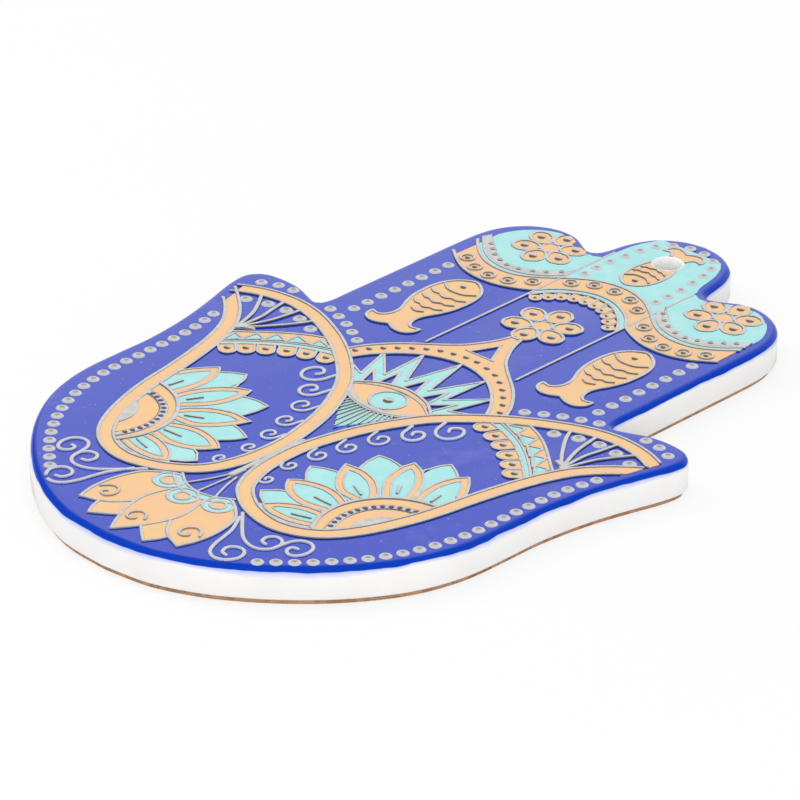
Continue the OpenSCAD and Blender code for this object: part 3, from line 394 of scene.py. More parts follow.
@dataclass
class Ground:
    """The glazed face that carries the decoration: where it rolls off and how far down."""

    roll: float = 1.8
    border: float = 2.9
    edge: float = 1.85
    tree: KDTree = field(init=False)
    flat: Area = field(init=False)
    wide: Area = field(init=False)

    def __post_init__(self) -> None:
        """Prepares the outline for the questions below."""
        outline = paced(smooth(whole(HALF_OUTLINE), 6, closed=True), 0.2, closed=True)
        self.tree = KDTree(len(outline))
        for i, (x, y) in enumerate(outline):
            self.tree.insert((x, y, 0), i)
        self.tree.balance()
        self.flat, self.wide = (
            Area(whole(beside(smooth(HALF_OUTLINE, 6), -inset))).moved(-PRINT_X, -PRINT_Y)
            for inset in (self.border, self.edge))

    def drop(self, x: float, y: float) -> float:
        """Returns how far the face lies below its level at a place on the plate."""
        near = self.tree.find((x, y, 0))[2]
        if near >= self.roll:
            return 0.0
        return self.roll - math.sqrt(max(0.0, self.roll ** 2 - (self.roll - near) ** 2))


class Nodes:
    """The nodes of a material or of the world, made and joined in few words."""

    def __init__(self, owner: bpy.types.Material | bpy.types.World) -> None:
        """Turns the nodes on.

        Args:
            owner: What the nodes belong to.
        """
        owner.use_nodes = True
        self.nodes = owner.node_tree.nodes
        self.links = owner.node_tree.links

    def put(self, kind: str, sockets: dict[str | int, object] | None = None,
            **options: object) -> bpy.types.Node:
        """Adds a node.

        Args:
            kind: Blender's name of the node type.
            sockets: Input sockets, each with a value or an output to join to it.
            options: Settings of the node itself.

        Returns:
            The new node.
        """
        node = self.nodes.new(kind)
        for key, value in options.items():
            setattr(node, key, value)
        for key, value in (sockets or {}).items():
            self.join(value, node.inputs[key])
        return node

    def join(self, value: object, socket: bpy.types.NodeSocket) -> None:
        """Links an output to a socket, or sets the socket's own value."""
        if isinstance(value, bpy.types.NodeSocket):
            self.links.new(value, socket)
        else:
            socket.default_value = value

    def sum(self, operation: str, a: object, b: object) -> bpy.types.NodeSocket:
        """Returns the result of one operation on two numbers."""
        return self.put("ShaderNodeMath", {0: a, 1: b}, operation=operation).outputs[0]

    def vector(self, operation: str, a: object, b: object = (0, 0, 0)) -> bpy.types.Node:
        """Returns the node of one operation on two vectors."""
        return self.put("ShaderNodeVectorMath", {0: a, 1: b}, operation=operation)

    def ramp(self, source: bpy.types.NodeSocket, low: object, high: object,
             to_low: float = 0.0, to_high: float = 1.0) -> bpy.types.NodeSocket:
        """Returns the source stretched from one range to another, and clamped."""
        node = self.put("ShaderNodeMapRange", {"Value": source, "From Min": low, "From Max": high,
                                               "To Min": to_low, "To Max": to_high})
        return node.outputs["Result"]

    def level(self, share: object, a: object, b: object) -> bpy.types.NodeSocket:
        """Returns number a turning into number b by a share."""
        return self.put("ShaderNodeMix", {0: share, 2: a, 3: b}).outputs[0]


class Tree(Nodes):
    """The nodes of one material around its Principled shader."""

    def __init__(self, name: str) -> None:
        """Makes a material with a Principled shader.

        Args:
            name: Name of the material.
        """
        self.material = bpy.data.materials.new(name)
        super().__init__(self.material)
        self.shader = self.nodes["Principled BSDF"]
        self.place = self.nodes.new("ShaderNodeTexCoord").outputs["Object"]

    def noise(self, per_mm: float, detail: float = 2.0, rough: float = 0.5) -> bpy.types.NodeSocket:
        """Returns cloudy noise with about per_mm patches in a millimetre."""
        return self.put("ShaderNodeTexNoise", {"Vector": self.place, "Scale": per_mm / MM,
                                               "Detail": detail, "Roughness": rough}).outputs["Fac"]

    def mark(self, name: str) -> bpy.types.NodeSocket:
        """Returns a value that the mesh carries on its points."""
        return self.put("ShaderNodeAttribute", attribute_name=name).outputs["Fac"]

    def blend(self, share: object, a: object, b: object) -> bpy.types.NodeSocket:
        """Returns colour a turning into colour b by a share."""
        a, b = (c if isinstance(c, bpy.types.NodeSocket) else (*c, 1.0) for c in (a, b))
        return self.put("ShaderNodeMix", {0: share, 6: a, 7: b}, data_type="RGBA").outputs[2]

    def bump(self, height: bpy.types.NodeSocket, depth_mm: float, strength: float = 1.0) -> None:
        """Gives the shader small waves of the given depth."""
        node = self.put("ShaderNodeBump", {"Height": height, "Distance": depth_mm * MM,
                                           "Strength": strength})
        self.join(node.outputs["Normal"], self.shader.inputs["Normal"])

    def set(self, **values: object) -> None:
        """Sets sockets of the shader, with underscores for the spaces in their names."""
        for key, value in values.items():
            name = "Base Color" if key == "Base" else key.replace("_", " ")
            self.join(value, self.shader.inputs[name])


class Finish(Enum):
    """The record's material slots."""

    WHITE = "white_glaze"
    COBALT = "cobalt_glaze"
    TURQUOISE = "turquoise_enamel"
    GOLD = "gold_enamel"
    SILVER = "silver_lustre"
    FILM = "adhesive"
    CORK = "cork"


@dataclass(frozen=True)
class GlossyEnamel:
    """Fired enamel: a glossy fill with faint clouds and the soft waves of a melted surface."""

    slot: Finish
    tone: Colour
    cloud: Colour
    roughness: float = 0.09

    def material(self) -> bpy.types.Material:
        """Returns the material."""
        tree = Tree(self.slot.value)
        patches = tree.ramp(tree.noise(0.3, 3.0), 0.4, 0.62)
        base = tree.blend(patches, self.tone, self.cloud)
        tree.set(Base=base, Roughness=tree.ramp(tree.noise(0.5), 0.3, 0.7,
                                                self.roughness, self.roughness + 0.08))
        tree.bump(tree.noise(0.45, 1.0), 0.008)
        return tree.material


@dataclass(frozen=True)
class EdgeFade:
    """How the cobalt ends below the rolled edge: a crisp hem, then a breath of blue on white."""

    hem: float = 7.2
    soft: float = 0.06
    drift: float = 0.22
    shortest: float = 0.35
    longest: float = 1.3

    def shares(self, tree: Tree) -> tuple[bpy.types.NodeSocket, bpy.types.NodeSocket]:
        """Adds the nodes that tell blue, breath and white apart by height.

        Args:
            tree: Material that takes the nodes.

        Returns:
            Share of cobalt and share of the breath below it.
        """
        height = tree.put("ShaderNodeSeparateXYZ", {0: tree.place}).outputs["Z"]
        drift = tree.ramp(tree.noise(0.1), 0.3, 0.7, -self.drift * MM, self.drift * MM)
        level = tree.sum("ADD", height, drift)
        cobalt = tree.ramp(level, (self.hem - self.soft) * MM, (self.hem + self.soft) * MM)
        reach = tree.ramp(tree.noise(0.035, 1.0), 0.35, 0.65, (self.hem - self.shortest) * MM,
                          (self.hem - self.longest) * MM)
        breath = tree.ramp(level, reach, (self.hem + 0.1) * MM)
        return cobalt, breath


@dataclass(frozen=True)
class CobaltCoat:
    """Cobalt glaze that pools on the face and thins at its hem below the rolled edge, with the roll
    painted a deeper blue as shade.
    """

    deep: Colour = (0.007, 0.042, 0.51)
    pale: Colour = (0.20, 0.20, 0.62)
    # Painted shade: the sloped roll takes this deeper, plain blue in place of the clouded face
    # blue, standing in for the weaker reflection there.
    rolled: Colour = (0.001, 0.046, 0.47)
    ior: float = 1.62
    fleck: Colour = (0.20, 0.21, 0.62)
    breath: Colour = (0.46, 0.50, 0.90)
    white: Colour = (0.87, 0.865, 0.86)

    def material(self) -> bpy.types.Material:
        """Returns the material."""
        tree = Tree(Finish.COBALT.value)
        cobalt, breath = EdgeFade().shares(tree)
        flecks = tree.ramp(tree.noise(1.9, 0.0), 0.82, 0.86)
        smears = tree.ramp(tree.noise(0.05, 4.0, 0.62), 0.62, 0.80, 0.0, 0.45)
        body = tree.blend(flecks, tree.blend(smears, self.deep, self.pale), self.fleck)
        below = tree.blend(breath, self.white, self.breath)
        # Where the surface slopes away from flat, as on the roll, the colour turns to the painted
        # deeper blue.
        slope = tree.put("ShaderNodeNewGeometry").outputs["Normal"]
        upright = tree.put("ShaderNodeSeparateXYZ", {0: slope}).outputs["Z"]
        flat = tree.ramp(upright, 0.90, 0.999)
        body = tree.blend(flat, self.rolled, body)
        tree.set(Base=tree.blend(cobalt, below, body), IOR=self.ior,
                 Specular_IOR_Level=tree.ramp(flat, 0.0, 1.0, 0.12, 0.5),
                 Roughness=tree.ramp(tree.noise(0.05), 0.35, 0.65, 0.08, 0.14))
        tree.bump(tree.noise(0.3, 1.0), 0.008)
        return tree.material


@dataclass(frozen=True)
class WhiteGlaze:
    """Shiny white glaze of the walls and the hanging hole, a little warmer in places, painted
    lighter round the hole to lift its shade.
    """

    tone: Colour = (0.87, 0.865, 0.86)
    warm: Colour = (0.85, 0.835, 0.815)
    breath: Colour = (0.46, 0.50, 0.90)
    # Painted light: a lighter white for the glaze near the hanging hole, lifting the shade inside
    # the hole.
    lip: Colour = (0.96, 0.96, 0.955)
    lip_to: float = 5.0

    def material(self) -> bpy.types.Material:
        """Returns the material."""
        tree = Tree(Finish.WHITE.value)
        breath = EdgeFade().shares(tree)[1]
        split = tree.vector("SUBTRACT", tree.place, (0, HOLE_Y * MM, 0)).outputs[0]
        flat = tree.vector("MULTIPLY", split, (1, 1, 0)).outputs[0]
        far = tree.vector("LENGTH", flat).outputs["Value"]
        outer = tree.ramp(far, self.lip_to * MM, (self.lip_to + 1) * MM)
        blue = tree.sum("MULTIPLY", breath, outer)
        body = tree.blend(tree.ramp(tree.noise(0.08, 3.0), 0.4, 0.65), self.tone, self.warm)
        # Painted light: within lip_to of the hole's middle the glaze turns to the lighter lip
        # white.
        body = tree.blend(outer, self.lip, body)
        tree.set(Base=tree.blend(blue, body, self.breath),
                 Roughness=tree.ramp(tree.noise(0.3), 0.3, 0.7, 0.08, 0.16))
        tree.bump(tree.noise(0.35, 1.0), 0.012)
        return tree.material


@dataclass(frozen=True)
class SilverLustre:
    """Fired silver lustre on piped beads, a little uneven, with olive hearts on large dots and
    painted shade on bead flanks.
    """

    tone: Colour = (0.70, 0.69, 0.68)
    worn: Colour = (0.60, 0.59, 0.57)
    # Painted shade: the dark colour that the beads' sloping flanks turn towards, standing in for
    # their shadow and dark reflection.
    painted_shade: Colour = (0.19, 0.14, 0.10)
    heart: Colour = (0.30, 0.27, 0.16)
    pearl: Colour = (0.62, 0.63, 0.72)

    def material(self) -> bpy.types.Material:
        """Returns the material."""
        tree = Tree(Finish.SILVER.value)
        body = tree.blend(tree.ramp(tree.noise(0.6, 3.0), 0.4, 0.65), self.tone, self.worn)
        # Painted shade: where the crest mark is low, on flanks that tilt away from straight up, the
        # lustre darkens towards the shade colour.
        body = tree.blend(tree.ramp(tree.mark("crest"), 0.2, 0.62), self.painted_shade, body)
        pearl = tree.mark("pearl")
        body = tree.blend(tree.mark("heart"), tree.blend(pearl, body, self.pearl), self.heart)
        tree.set(Base=body, Metallic=tree.ramp(pearl, 0.0, 1.0, 1.0, 0.15),
                 Roughness=tree.ramp(tree.noise(0.8), 0.3, 0.7, 0.2, 0.32))
        tree.bump(tree.noise(1.2, 2.0), 0.006)
        return tree.material


@dataclass(frozen=True)
class InkCobalt:
    """Cobalt laid thick on silver, where it fires almost black."""

    tone: Colour = (0.03, 0.025, 0.13)
    sheen: Colour = (0.07, 0.05, 0.20)

    def material(self) -> bpy.types.Material:
        """Returns the material."""
        tree = Tree("cobalt_ink")
        tree.set(Base=tree.blend(tree.noise(0.8, 2.0), self.tone, self.sheen), Roughness=0.2)
        return tree.material


@dataclass(frozen=True)
class PressedCork:
    """Pressed cork granules with dark specks and open pits."""

    light: Colour = (0.52, 0.31, 0.17)
    brown: Colour = (0.34, 0.18, 0.09)
    dark: Colour = (0.12, 0.06, 0.03)

    def material(self) -> bpy.types.Material:
        """Returns the material."""
        tree = Tree(Finish.CORK.value)
        grains = tree.put("ShaderNodeTexVoronoi", {"Vector": tree.place, "Scale": 0.7 / MM})
        tint = tree.put("ShaderNodeSeparateColor", {0: grains.outputs["Color"]}).outputs[0]
        specks = tree.ramp(tree.noise(1.6, 3.0), 0.62, 0.70)
        body = tree.blend(tint, self.light, self.brown)
        tree.set(Base=tree.blend(specks, body, self.dark), Roughness=0.85)
        tree.bump(tree.ramp(grains.outputs["Distance"], 0.0, 0.6, 1.0, 0.0), 0.12, 0.7)
        return tree.material


@dataclass(frozen=True)
class GlueFilm:
    """The thin film of clear glue between cork and ceramic."""

    tone: Colour = (0.62, 0.58, 0.48)
    stain: Colour = (0.5, 0.45, 0.34)

    def material(self) -> bpy.types.Material:
        """Returns the material."""
        tree = Tree(Finish.FILM.value)
        tree.set(Base=tree.blend(tree.noise(0.3, 3.0), self.tone, self.stain), Roughness=0.45)
        return tree.material


def placed(name: str, data: bpy.types.ID) -> bpy.types.Object:
    """Returns a new object that is linked to the scene."""
    made = bpy.data.objects.new(name, data)
    bpy.context.scene.collection.objects.link(made)
    return made


def merge(bm: bmesh.types.BMesh, other: bmesh.types.BMesh) -> None:
    """Adds all of another mesh to a mesh, and frees the other."""
    spare = bpy.data.meshes.new("spare")
    other.to_mesh(spare)
    other.free()
    bm.from_mesh(spare)
    bpy.data.meshes.remove(spare)


def round_off(bm: bmesh.types.BMesh, edges: list[bmesh.types.BMEdge], offset: float,
              segments: int) -> None:
    """Rounds edges of a mesh.

    Args:
        bm: The mesh.
        edges: The edges.
        offset: How far the rounding reaches from each edge, in millimetres.
        segments: Number of facets across it.
    """
    bmesh.ops.bevel(bm, geom=edges, offset=offset * MM, segments=segments, profile=0.5,
                    affect="EDGES", material=-1)


def raise_faces(bm: bmesh.types.BMesh, height: float) -> None:
    """Pulls flat faces up into a solid of the given height, in millimetres."""
    made = bmesh.ops.extrude_face_region(bm, geom=bm.faces[:])
    up = [v for v in made["geom"] if isinstance(v, bmesh.types.BMVert)]
    bmesh.ops.translate(bm, verts=up, vec=(0, 0, height * MM))
    bmesh.ops.recalc_face_normals(bm, faces=bm.faces[:])


@dataclass
class Workshop:
    """Makes the meshes that several sub-assemblies share, and hangs each on the frame.

    Attributes:
        ground: The face that the decoration lies on.
        finishes: Material of each finish.
        flatness: Height of a bead as a share of half its width.
        fullness: Exponent of a bead's oval section; above 2 it is fuller than an ellipse.
        seat: How far the middle of a bead's section is above the face.
        dimple: Depth of the dip in a large dot, as a share of its height.
        dimple_r: Radius of the dip, as a share of the dot's.
        heart_r: Radius of the dot's dark heart, as a share of the dot's.
        heart_fade: Width over which the heart fades, as a share of the dot's radius.
        tuck: How far a fill reaches in under its beads.
        rim: Width of a fill's round rim.
    """

    ground: Ground = field(default_factory=Ground)
    finishes: dict[Finish, bpy.types.Material] = field(default_factory=dict)
    flatness: float = 0.62
    fullness: float = 2.6
    seat: float = 0.12
    dimple: float = 0.2
    dimple_r: float = 0.34
    heart_r: float = 0.62
    heart_fade: float = 0.4
    tuck: float = 0.2
    rim: float = 0.16

    def __post_init__(self) -> None:
        """Makes every finish once."""
        kinds = {Finish.WHITE: WhiteGlaze(), Finish.COBALT: CobaltCoat(),
                 Finish.SILVER: SilverLustre(), Finish.CORK: PressedCork(),
                 Finish.FILM: GlueFilm()}
        for slot, kind in kinds.items():
            self.finishes[slot] = kind.material()
        for enamel in (GlossyEnamel(Finish.GOLD, (0.88, 0.555, 0.235), (0.89, 0.515, 0.27)),
                       GlossyEnamel(Finish.TURQUOISE, (0.345, 0.75, 0.76), (0.41, 0.78, 0.77))):
            self.finishes[enamel.slot] = enamel.material()
        self.ink = InkCobalt().material()

    def hang(self, name: str, bm: bmesh.types.BMesh, finish: Finish,
             nodes: Sequence[str], sharp: float = 50.0) -> bpy.types.Object:
        """Turns a bmesh into a finished piece that rides on the frame.

        Args:
            name: Name of the piece.
            bm: Its mesh in metres; it is freed here.
            finish: Its finish.
            nodes: CAD nodes that it stands for.
            sharp: Edges with a larger angle, in degrees, stay sharp.

        Returns:
            The piece.
        """
        mesh = bpy.data.meshes.new(name)
        bm.to_mesh(mesh)
        bm.free()
        mesh.shade_smooth()
        mesh.set_sharp_from_angle(angle=math.radians(sharp))
        mesh.materials.append(self.finishes[finish])
        piece = placed(name, mesh)
        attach(piece, "root")
        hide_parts(*nodes)
        LOG.info("%s: %d faces, stands for %s", name, len(mesh.polygons), ", ".join(nodes))
        return piece

    def relief(self, name: str, nodes: Sequence[str], beads: Iterable[Stroke],
               dots: Iterable[Dome] = (), pads: Iterable[Line] = (),
               cushion: float = 0.34, painted_shade: float = 0.75,
               bloom: float = 0.1) -> bpy.types.Object:
        """Pipes beads and dots of silver lustre onto the face.

        Args:
            name: Name of the piece.
            nodes: CAD nodes that it stands for.
            beads: Beads in the coordinates of the decoration.
            dots: Dots in the same coordinates.
            pads: Outlines of flat cushions in the same coordinates.
            cushion: Height of the cushions, in millimetres.
            painted_shade: How dark the painted shade on the beads' sloping flanks is, from 0 to 1.
            bloom: Share of the pale, pearly look on the beads.

        Returns:
            The piece.
        """
        curve = bpy.data.curves.new(name + "_path", "CURVE")
        curve.dimensions = "3D"
        curve.twist_mode = "Z_UP"
        section = self._section()
        curve.bevel_mode = "OBJECT"
        curve.bevel_object = section
        curve.use_fill_caps = True
        for bead in beads:
            self._lay(curve, bead)
        carrier = placed(name + "_path", curve)
        piped = bpy.data.meshes.new_from_object(
            carrier.evaluated_get(bpy.context.evaluated_depsgraph_get()))
        bm = bmesh.new()
        bm.from_mesh(piped)
        bpy.data.objects.remove(carrier)
        bpy.data.curves.remove(curve)
        bpy.data.curves.remove(section.data)
        bpy.data.meshes.remove(piped)
        bmesh.ops.remove_doubles(bm, verts=bm.verts, dist=1e-7)
        bmesh.ops.recalc_face_normals(bm, faces=bm.faces[:])
        for outline in pads:
            self.pad(bm, outline, cushion)
        heart = bm.verts.layers.float.new("heart")
        pearl = bm.verts.layers.float.new("pearl")
        for v in bm.verts:
            v[pearl] = bloom
        for dot in dots:
            self._dot(bm, dot, heart, pearl)
        # Painted shade: crest is 1 where a bead faces straight up and drops on its steeper flanks,
        # by the given strength.
        crest = bm.verts.layers.float.new("crest")
        bm.normal_update()
        for v in bm.verts:
            v[crest] = 1 - painted_shade * (1 - v.normal.z)
        return self.hang(name, bm, Finish.SILVER, nodes, sharp=80.0)

    def _section(self) -> bpy.types.Object:
        """Returns the cross-section of a bead: a low, full oval, one millimetre to each side."""
        data = bpy.data.curves.new("bead_section", "CURVE")
        spline = data.splines.new("POLY")
        turns = list(range(0, 181, 18)) + [225, 270, 315]
        spline.points.add(len(turns) - 1)
        for point, turn in zip(spline.points, turns):
            c, s = math.cos(math.radians(turn)), math.sin(math.radians(turn))
            x = math.copysign(abs(c) ** (2 / self.fullness), c)
            y = math.copysign(abs(s) ** (2 / self.fullness), s) * self.flatness
            point.co = (x * MM, y * MM, 0, 1)
        spline.use_cyclic_u = True
        return placed("bead_section", data)

    def pearls(self, name: str, dots: Iterable[Dome]) -> bpy.types.Object:
        """Sets small drops of cobalt on a silver band.

        Args:
            name: Name of the piece.
            dots: The drops, in the coordinates of the decoration.

        Returns:
            The piece.
        """
        bm = bmesh.new()
        heart = bm.verts.layers.float.new("heart")
        pearl = bm.verts.layers.float.new("pearl")
        for dot in dots:
            self._dot(bm, dot, heart, pearl)
        row = self.hang(name, bm, Finish.COBALT, [], sharp=80.0)
        row.data.materials[0] = self.ink
        return row

    def _level(self, x: float, y: float, lift: float) -> float:
        """Returns the height of the face under a place of the decoration, plus a lift."""
        return FACE_Z + lift - self.ground.drop(x + PRINT_X, y + PRINT_Y)

    def _lay(self, curve: bpy.types.Curve, bead: Stroke) -> None:
        """Adds one bead to the curve, with round ends where it is open."""
        line = paced(bead.line, 0.32, bead.closed)
        radius = bead.width / 2
        rows = [(x, y, radius) for x, y in line]
        if not bead.closed:
            steps = [(math.sin(math.radians(a)), math.cos(math.radians(a))) for a in (30, 60, 84)]
            for end, inner, rear in ((line[0], line[1], True), (line[-1], line[-2], False)):
                long = math.dist(end, inner) or 1.0
                ux, uy = (end[0] - inner[0]) / long, (end[1] - inner[1]) / long
                cap = [(end[0] + ux * radius * s, end[1] + uy * radius * s, radius * c)
                       for s, c in steps]
                rows = cap[::-1] + rows if rear else rows + cap
        spline = curve.splines.new("POLY")
        spline.points.add(len(rows) - 1)
        for point, (x, y, r) in zip(spline.points, rows):
            z = self._level(x, y, bead.lift + self.seat)
            point.co = ((x + PRINT_X) * MM, (y + PRINT_Y) * MM, z * MM, 1)
            point.radius = r
        spline.use_cyclic_u = bead.closed

    def _dot(self, bm: bmesh.types.BMesh, dot: Dome, heart: bmesh.types.BMLayerItem,
             pearl: bmesh.types.BMLayerItem) -> None:
        """Adds one dot to the mesh, with its heart and its pearly rim marked for the finish."""
        x, y = dot.at
        middle = Vector((x + PRINT_X, y + PRINT_Y, self._level(x, y, dot.lift))) * MM
        radius = dot.width / 2 * MM
        size = Matrix.Diagonal((radius, radius, dot.height * MM, 1))
        large = dot.width > 1.8
        made = bmesh.ops.create_uvsphere(bm, u_segments=18 if large else 12,
                                         v_segments=10 if large else 8, radius=1.0,
                                         matrix=Matrix.Translation(middle) @ size)
        for v in made["verts"]:
            out = (v.co.xy - middle.xy).length / radius
            if large and v.co.z > middle.z:
                crown = 1 - out ** 4 - self.dimple * math.exp(-(out / self.dimple_r) ** 2)
                v.co.z = middle.z + dot.height * MM * crown
            v[heart] = dot.heart * max(0.0, min(1.0, (self.heart_r - out) / self.heart_fade))
            v[pearl] = dot.pearl

    def field(self, name: str, node: str, finish: Finish,
              rise: float = ENAMEL_H) -> bpy.types.Object:
        """Floods one enamel field of the frame: the same plan with a round rim under its beads.

        Args:
            name: Name of the piece.
            node: CAD node whose plan it takes and which it stands for.
            finish: Its enamel.
            rise: Height above the glaze, in millimetres.

        Returns:
            The piece.
        """
        bm = bmesh.new()
        bm.from_mesh(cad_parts[node].data)
        bmesh.ops.remove_doubles(bm, verts=bm.verts, dist=1e-6)
        rest = [f for f in bm.faces if f.normal.z < 0.9]
        bmesh.ops.delete(bm, geom=rest, context="FACES")
        for v in bm.verts:
            v.co.z = 0
        self.thicken(bm, rise)
        return self.hang(name, bm, finish, [node], sharp=20.0)

    def pad(self, bm: bmesh.types.BMesh, outline: Sequence[Point], rise: float) -> None:
        """Adds a low cushion of lustre to a mesh.

        Args:
            bm: Mesh that takes the cushion.
            outline: Its outline, in the coordinates of the decoration.
            rise: Its height above the glaze, in millimetres.
        """
        one = bmesh.new()
        verts = [one.verts.new(((x + PRINT_X) * MM, (y + PRINT_Y) * MM, 0)) for x, y in outline]
        one.faces.new(verts).normal_update()
        if one.faces[:][0].normal.z < 0:
            one.faces[:][0].normal_flip()
        self.thicken(one, rise)
        merge(bm, one)

    def thicken(self, bm: bmesh.types.BMesh, rise: float) -> None:
        """Turns a flat mesh into a closed field with a round rim, laid on the face.

        Args:
            bm: The flat mesh; its rims are let out in under their beads.
            rise: Height above the glaze, in millimetres.
        """
        self._let_out(bm, self.tuck)
        raise_faces(bm, rise * 1.3)
        tops = [f for f in bm.faces if f.normal.z > 0.9]
        bmesh.ops.inset_region(bm, faces=tops, thickness=self.rim * MM, depth=rise * 0.2 * MM,
                               use_even_offset=False, use_boundary=True)
        for v in bm.verts:
            base = FACE_Z - rise * 0.5 - self.ground.drop(v.co.x / MM, v.co.y / MM)
            v.co.z += base * MM

    def _let_out(self, bm: bmesh.types.BMesh, distance: float) -> None:
        """Moves the rims of a flat mesh outward, in under their beads.

        Args:
            bm: The flat mesh.
            distance: How far each rim moves, in millimetres.
        """
        outward: dict[bmesh.types.BMVert, Vector] = {}
        for e in bm.edges:
            if not e.is_boundary:
                continue
            a, b = e.verts
            across = Vector((b.co.y - a.co.y, a.co.x - b.co.x, 0)).normalized()
            face = e.link_faces[0].calc_center_median()
            if across.dot(face - a.co) > 0:
                across.negate()
            for v in e.verts:
                outward[v] = outward.get(v, Vector()) + across
        for v, way in outward.items():
            if way.length > 0.2:
                v.co += way.normalized() * distance * MM


@dataclass
class Plate:
    """The cast plate: white body with its hanging hole, and the cobalt coat over face and roll.

    Attributes:
        shop: Workshop that hangs the pieces.
        hole_r: Radius of the hanging hole.
        hole_reach: Distance from the middle of the hole in which an edge counts as the hole's.
        lip_steps: Widths of the rings that shape the white lip round the hole.
        lip_crest: Height of that lip above the face.
        coat: Thickness of the cobalt coat.
        lip_z: Level where the roll of the upper edge begins.
        roll: Radius of that roll.
        foot: Bevel of the lower edge.
        cork_inset: How far the cork stays in from the outline.
        cork_gap: How much wider than the hanging hole the hole in the cork is.
        cork_rub: Bevel of the cork's edges.
    """

    shop: Workshop
    hole_r: float = 3.1
    hole_reach: float = 6.0
    lip_steps: tuple[float, ...] = (0.1, 0.1, 0.1, 0.1, 0.1, 0.2)
    lip_crest: float = 0.28
    coat: float = 0.3
    lip_z: float = 6.4
    roll: float = 1.8
    foot: float = 0.5
    cork_inset: float = 0.9
    cork_gap: float = 1.0
    cork_rub: float = 0.15

    def half(self, bm: bmesh.types.BMesh, inset: float, hole: float, z: float) -> None:
        """Lays the face of the plate's right half and mirrors it to the left.

        Args:
            bm: Mesh that takes the face.
            inset: How far the face stays in from the outline.
            hole: Radius of the hanging hole.
            z: Level of the face.
        """
        outer = paced(smooth(HALF_OUTLINE, 6), 0.8)
        outer = [(max(0.0, x), y) for x, y in beside(outer, -inset)] if inset else outer
        outer[0], outer[-1] = (0.0, outer[0][1]), (0.0, outer[-1][1])
        arc = [(hole * math.sin(math.radians(a)), HOLE_Y + hole * math.cos(math.radians(a)))
               for a in range(180, -1, -6)]
        arc[0], arc[-1] = (0.0, arc[0][1]), (0.0, arc[-1][1])
        verts = [bm.verts.new((x * MM, y * MM, z * MM)) for x, y in outer + arc]
        bm.faces.new(verts)
        bmesh.ops.mirror(bm, geom=bm.verts[:] + bm.edges[:] + bm.faces[:],
                         matrix=Matrix.Identity(4), merge_dist=1e-6, axis="X")
        for face in bm.faces:
            face.normal_update()
            if face.normal.z < 0:
                face.normal_flip()

    def rims(self, bm: bmesh.types.BMesh, z: float, hole: bool) -> list[bmesh.types.BMEdge]:
        """Returns the rim edges at a level, of the hanging hole or of the outline."""
        made = []
        for e in bm.edges:
            if any(abs(v.co.z - z * MM) > 1e-7 for v in e.verts) or len(e.link_faces) != 2:
                continue
            if abs(e.link_faces[0].normal.z) > 0.5 and abs(e.link_faces[1].normal.z) > 0.5:
                continue
            middle = (e.verts[0].co + e.verts[1].co) / 2
            near = math.hypot(middle.x, middle.y - HOLE_Y * MM) < self.hole_reach * MM
            if near == hole:
                made.append(e)
        return made

    def lip(self, far: float) -> float:
        """Returns the level of the white lip at a distance from the middle of the hole."""
        out = far - self.hole_r
        crest = FACE_Z + self.lip_crest - 0.75 * max(0.0, 1 - out / self.lip_crest) ** 2
        return max(BODY_TOP, crest - 6 * max(0.0, out - 0.3) ** 2)

    def body(self) -> bpy.types.Object:
        """Builds the white body with its foot bevel and its rounded hanging hole."""
        bm = bmesh.new()
        self.half(bm, 0.0, self.hole_r, BODY_Z)
        raise_faces(bm, self.lip_z - BODY_Z)
        round_off(bm, self.rims(bm, BODY_Z, hole=False), self.foot, 3)
        tops = [f for f in bm.faces if f.normal.z > 0.9 and f.calc_center_median().z > 6 * MM]
        bmesh.ops.delete(bm, geom=tops, context="FACES_ONLY")
        upper = bmesh.new()
        self.half(upper, self.coat, self.hole_r, self.lip_z)
        raise_faces(upper, BODY_TOP - self.lip_z)
        floor = [f for f in upper.faces if f.normal.z < -0.9]
        bmesh.ops.delete(upper, geom=floor, context="FACES_ONLY")
        round_off(upper, self.rims(upper, BODY_TOP, hole=False),
                  (self.roll - self.coat) * 0.95, 5)
        merge(bm, upper)
        bmesh.ops.remove_doubles(bm, verts=bm.verts, dist=1e-7)
        ledge = [e for e in bm.edges if e.is_boundary]
        bmesh.ops.bridge_loops(bm, edges=ledge)
        tops = [f for f in bm.faces if f.normal.z > 0.9 and f.calc_center_median().z > 7.5 * MM]
        for step in self.lip_steps:
            bmesh.ops.inset_region(bm, faces=tops, thickness=step * MM, use_boundary=True)
        for v in bm.verts:
            far = math.hypot(v.co.x, v.co.y - HOLE_Y * MM) / MM
            if far < 5 and v.co.z > 7.5 * MM:
                v.co.z = self.lip(far) * MM
        bmesh.ops.recalc_face_normals(bm, faces=bm.faces[:])
        return self.shop.hang("plate_body", bm, Finish.WHITE, ["ceramic_body"], sharp=40.0)

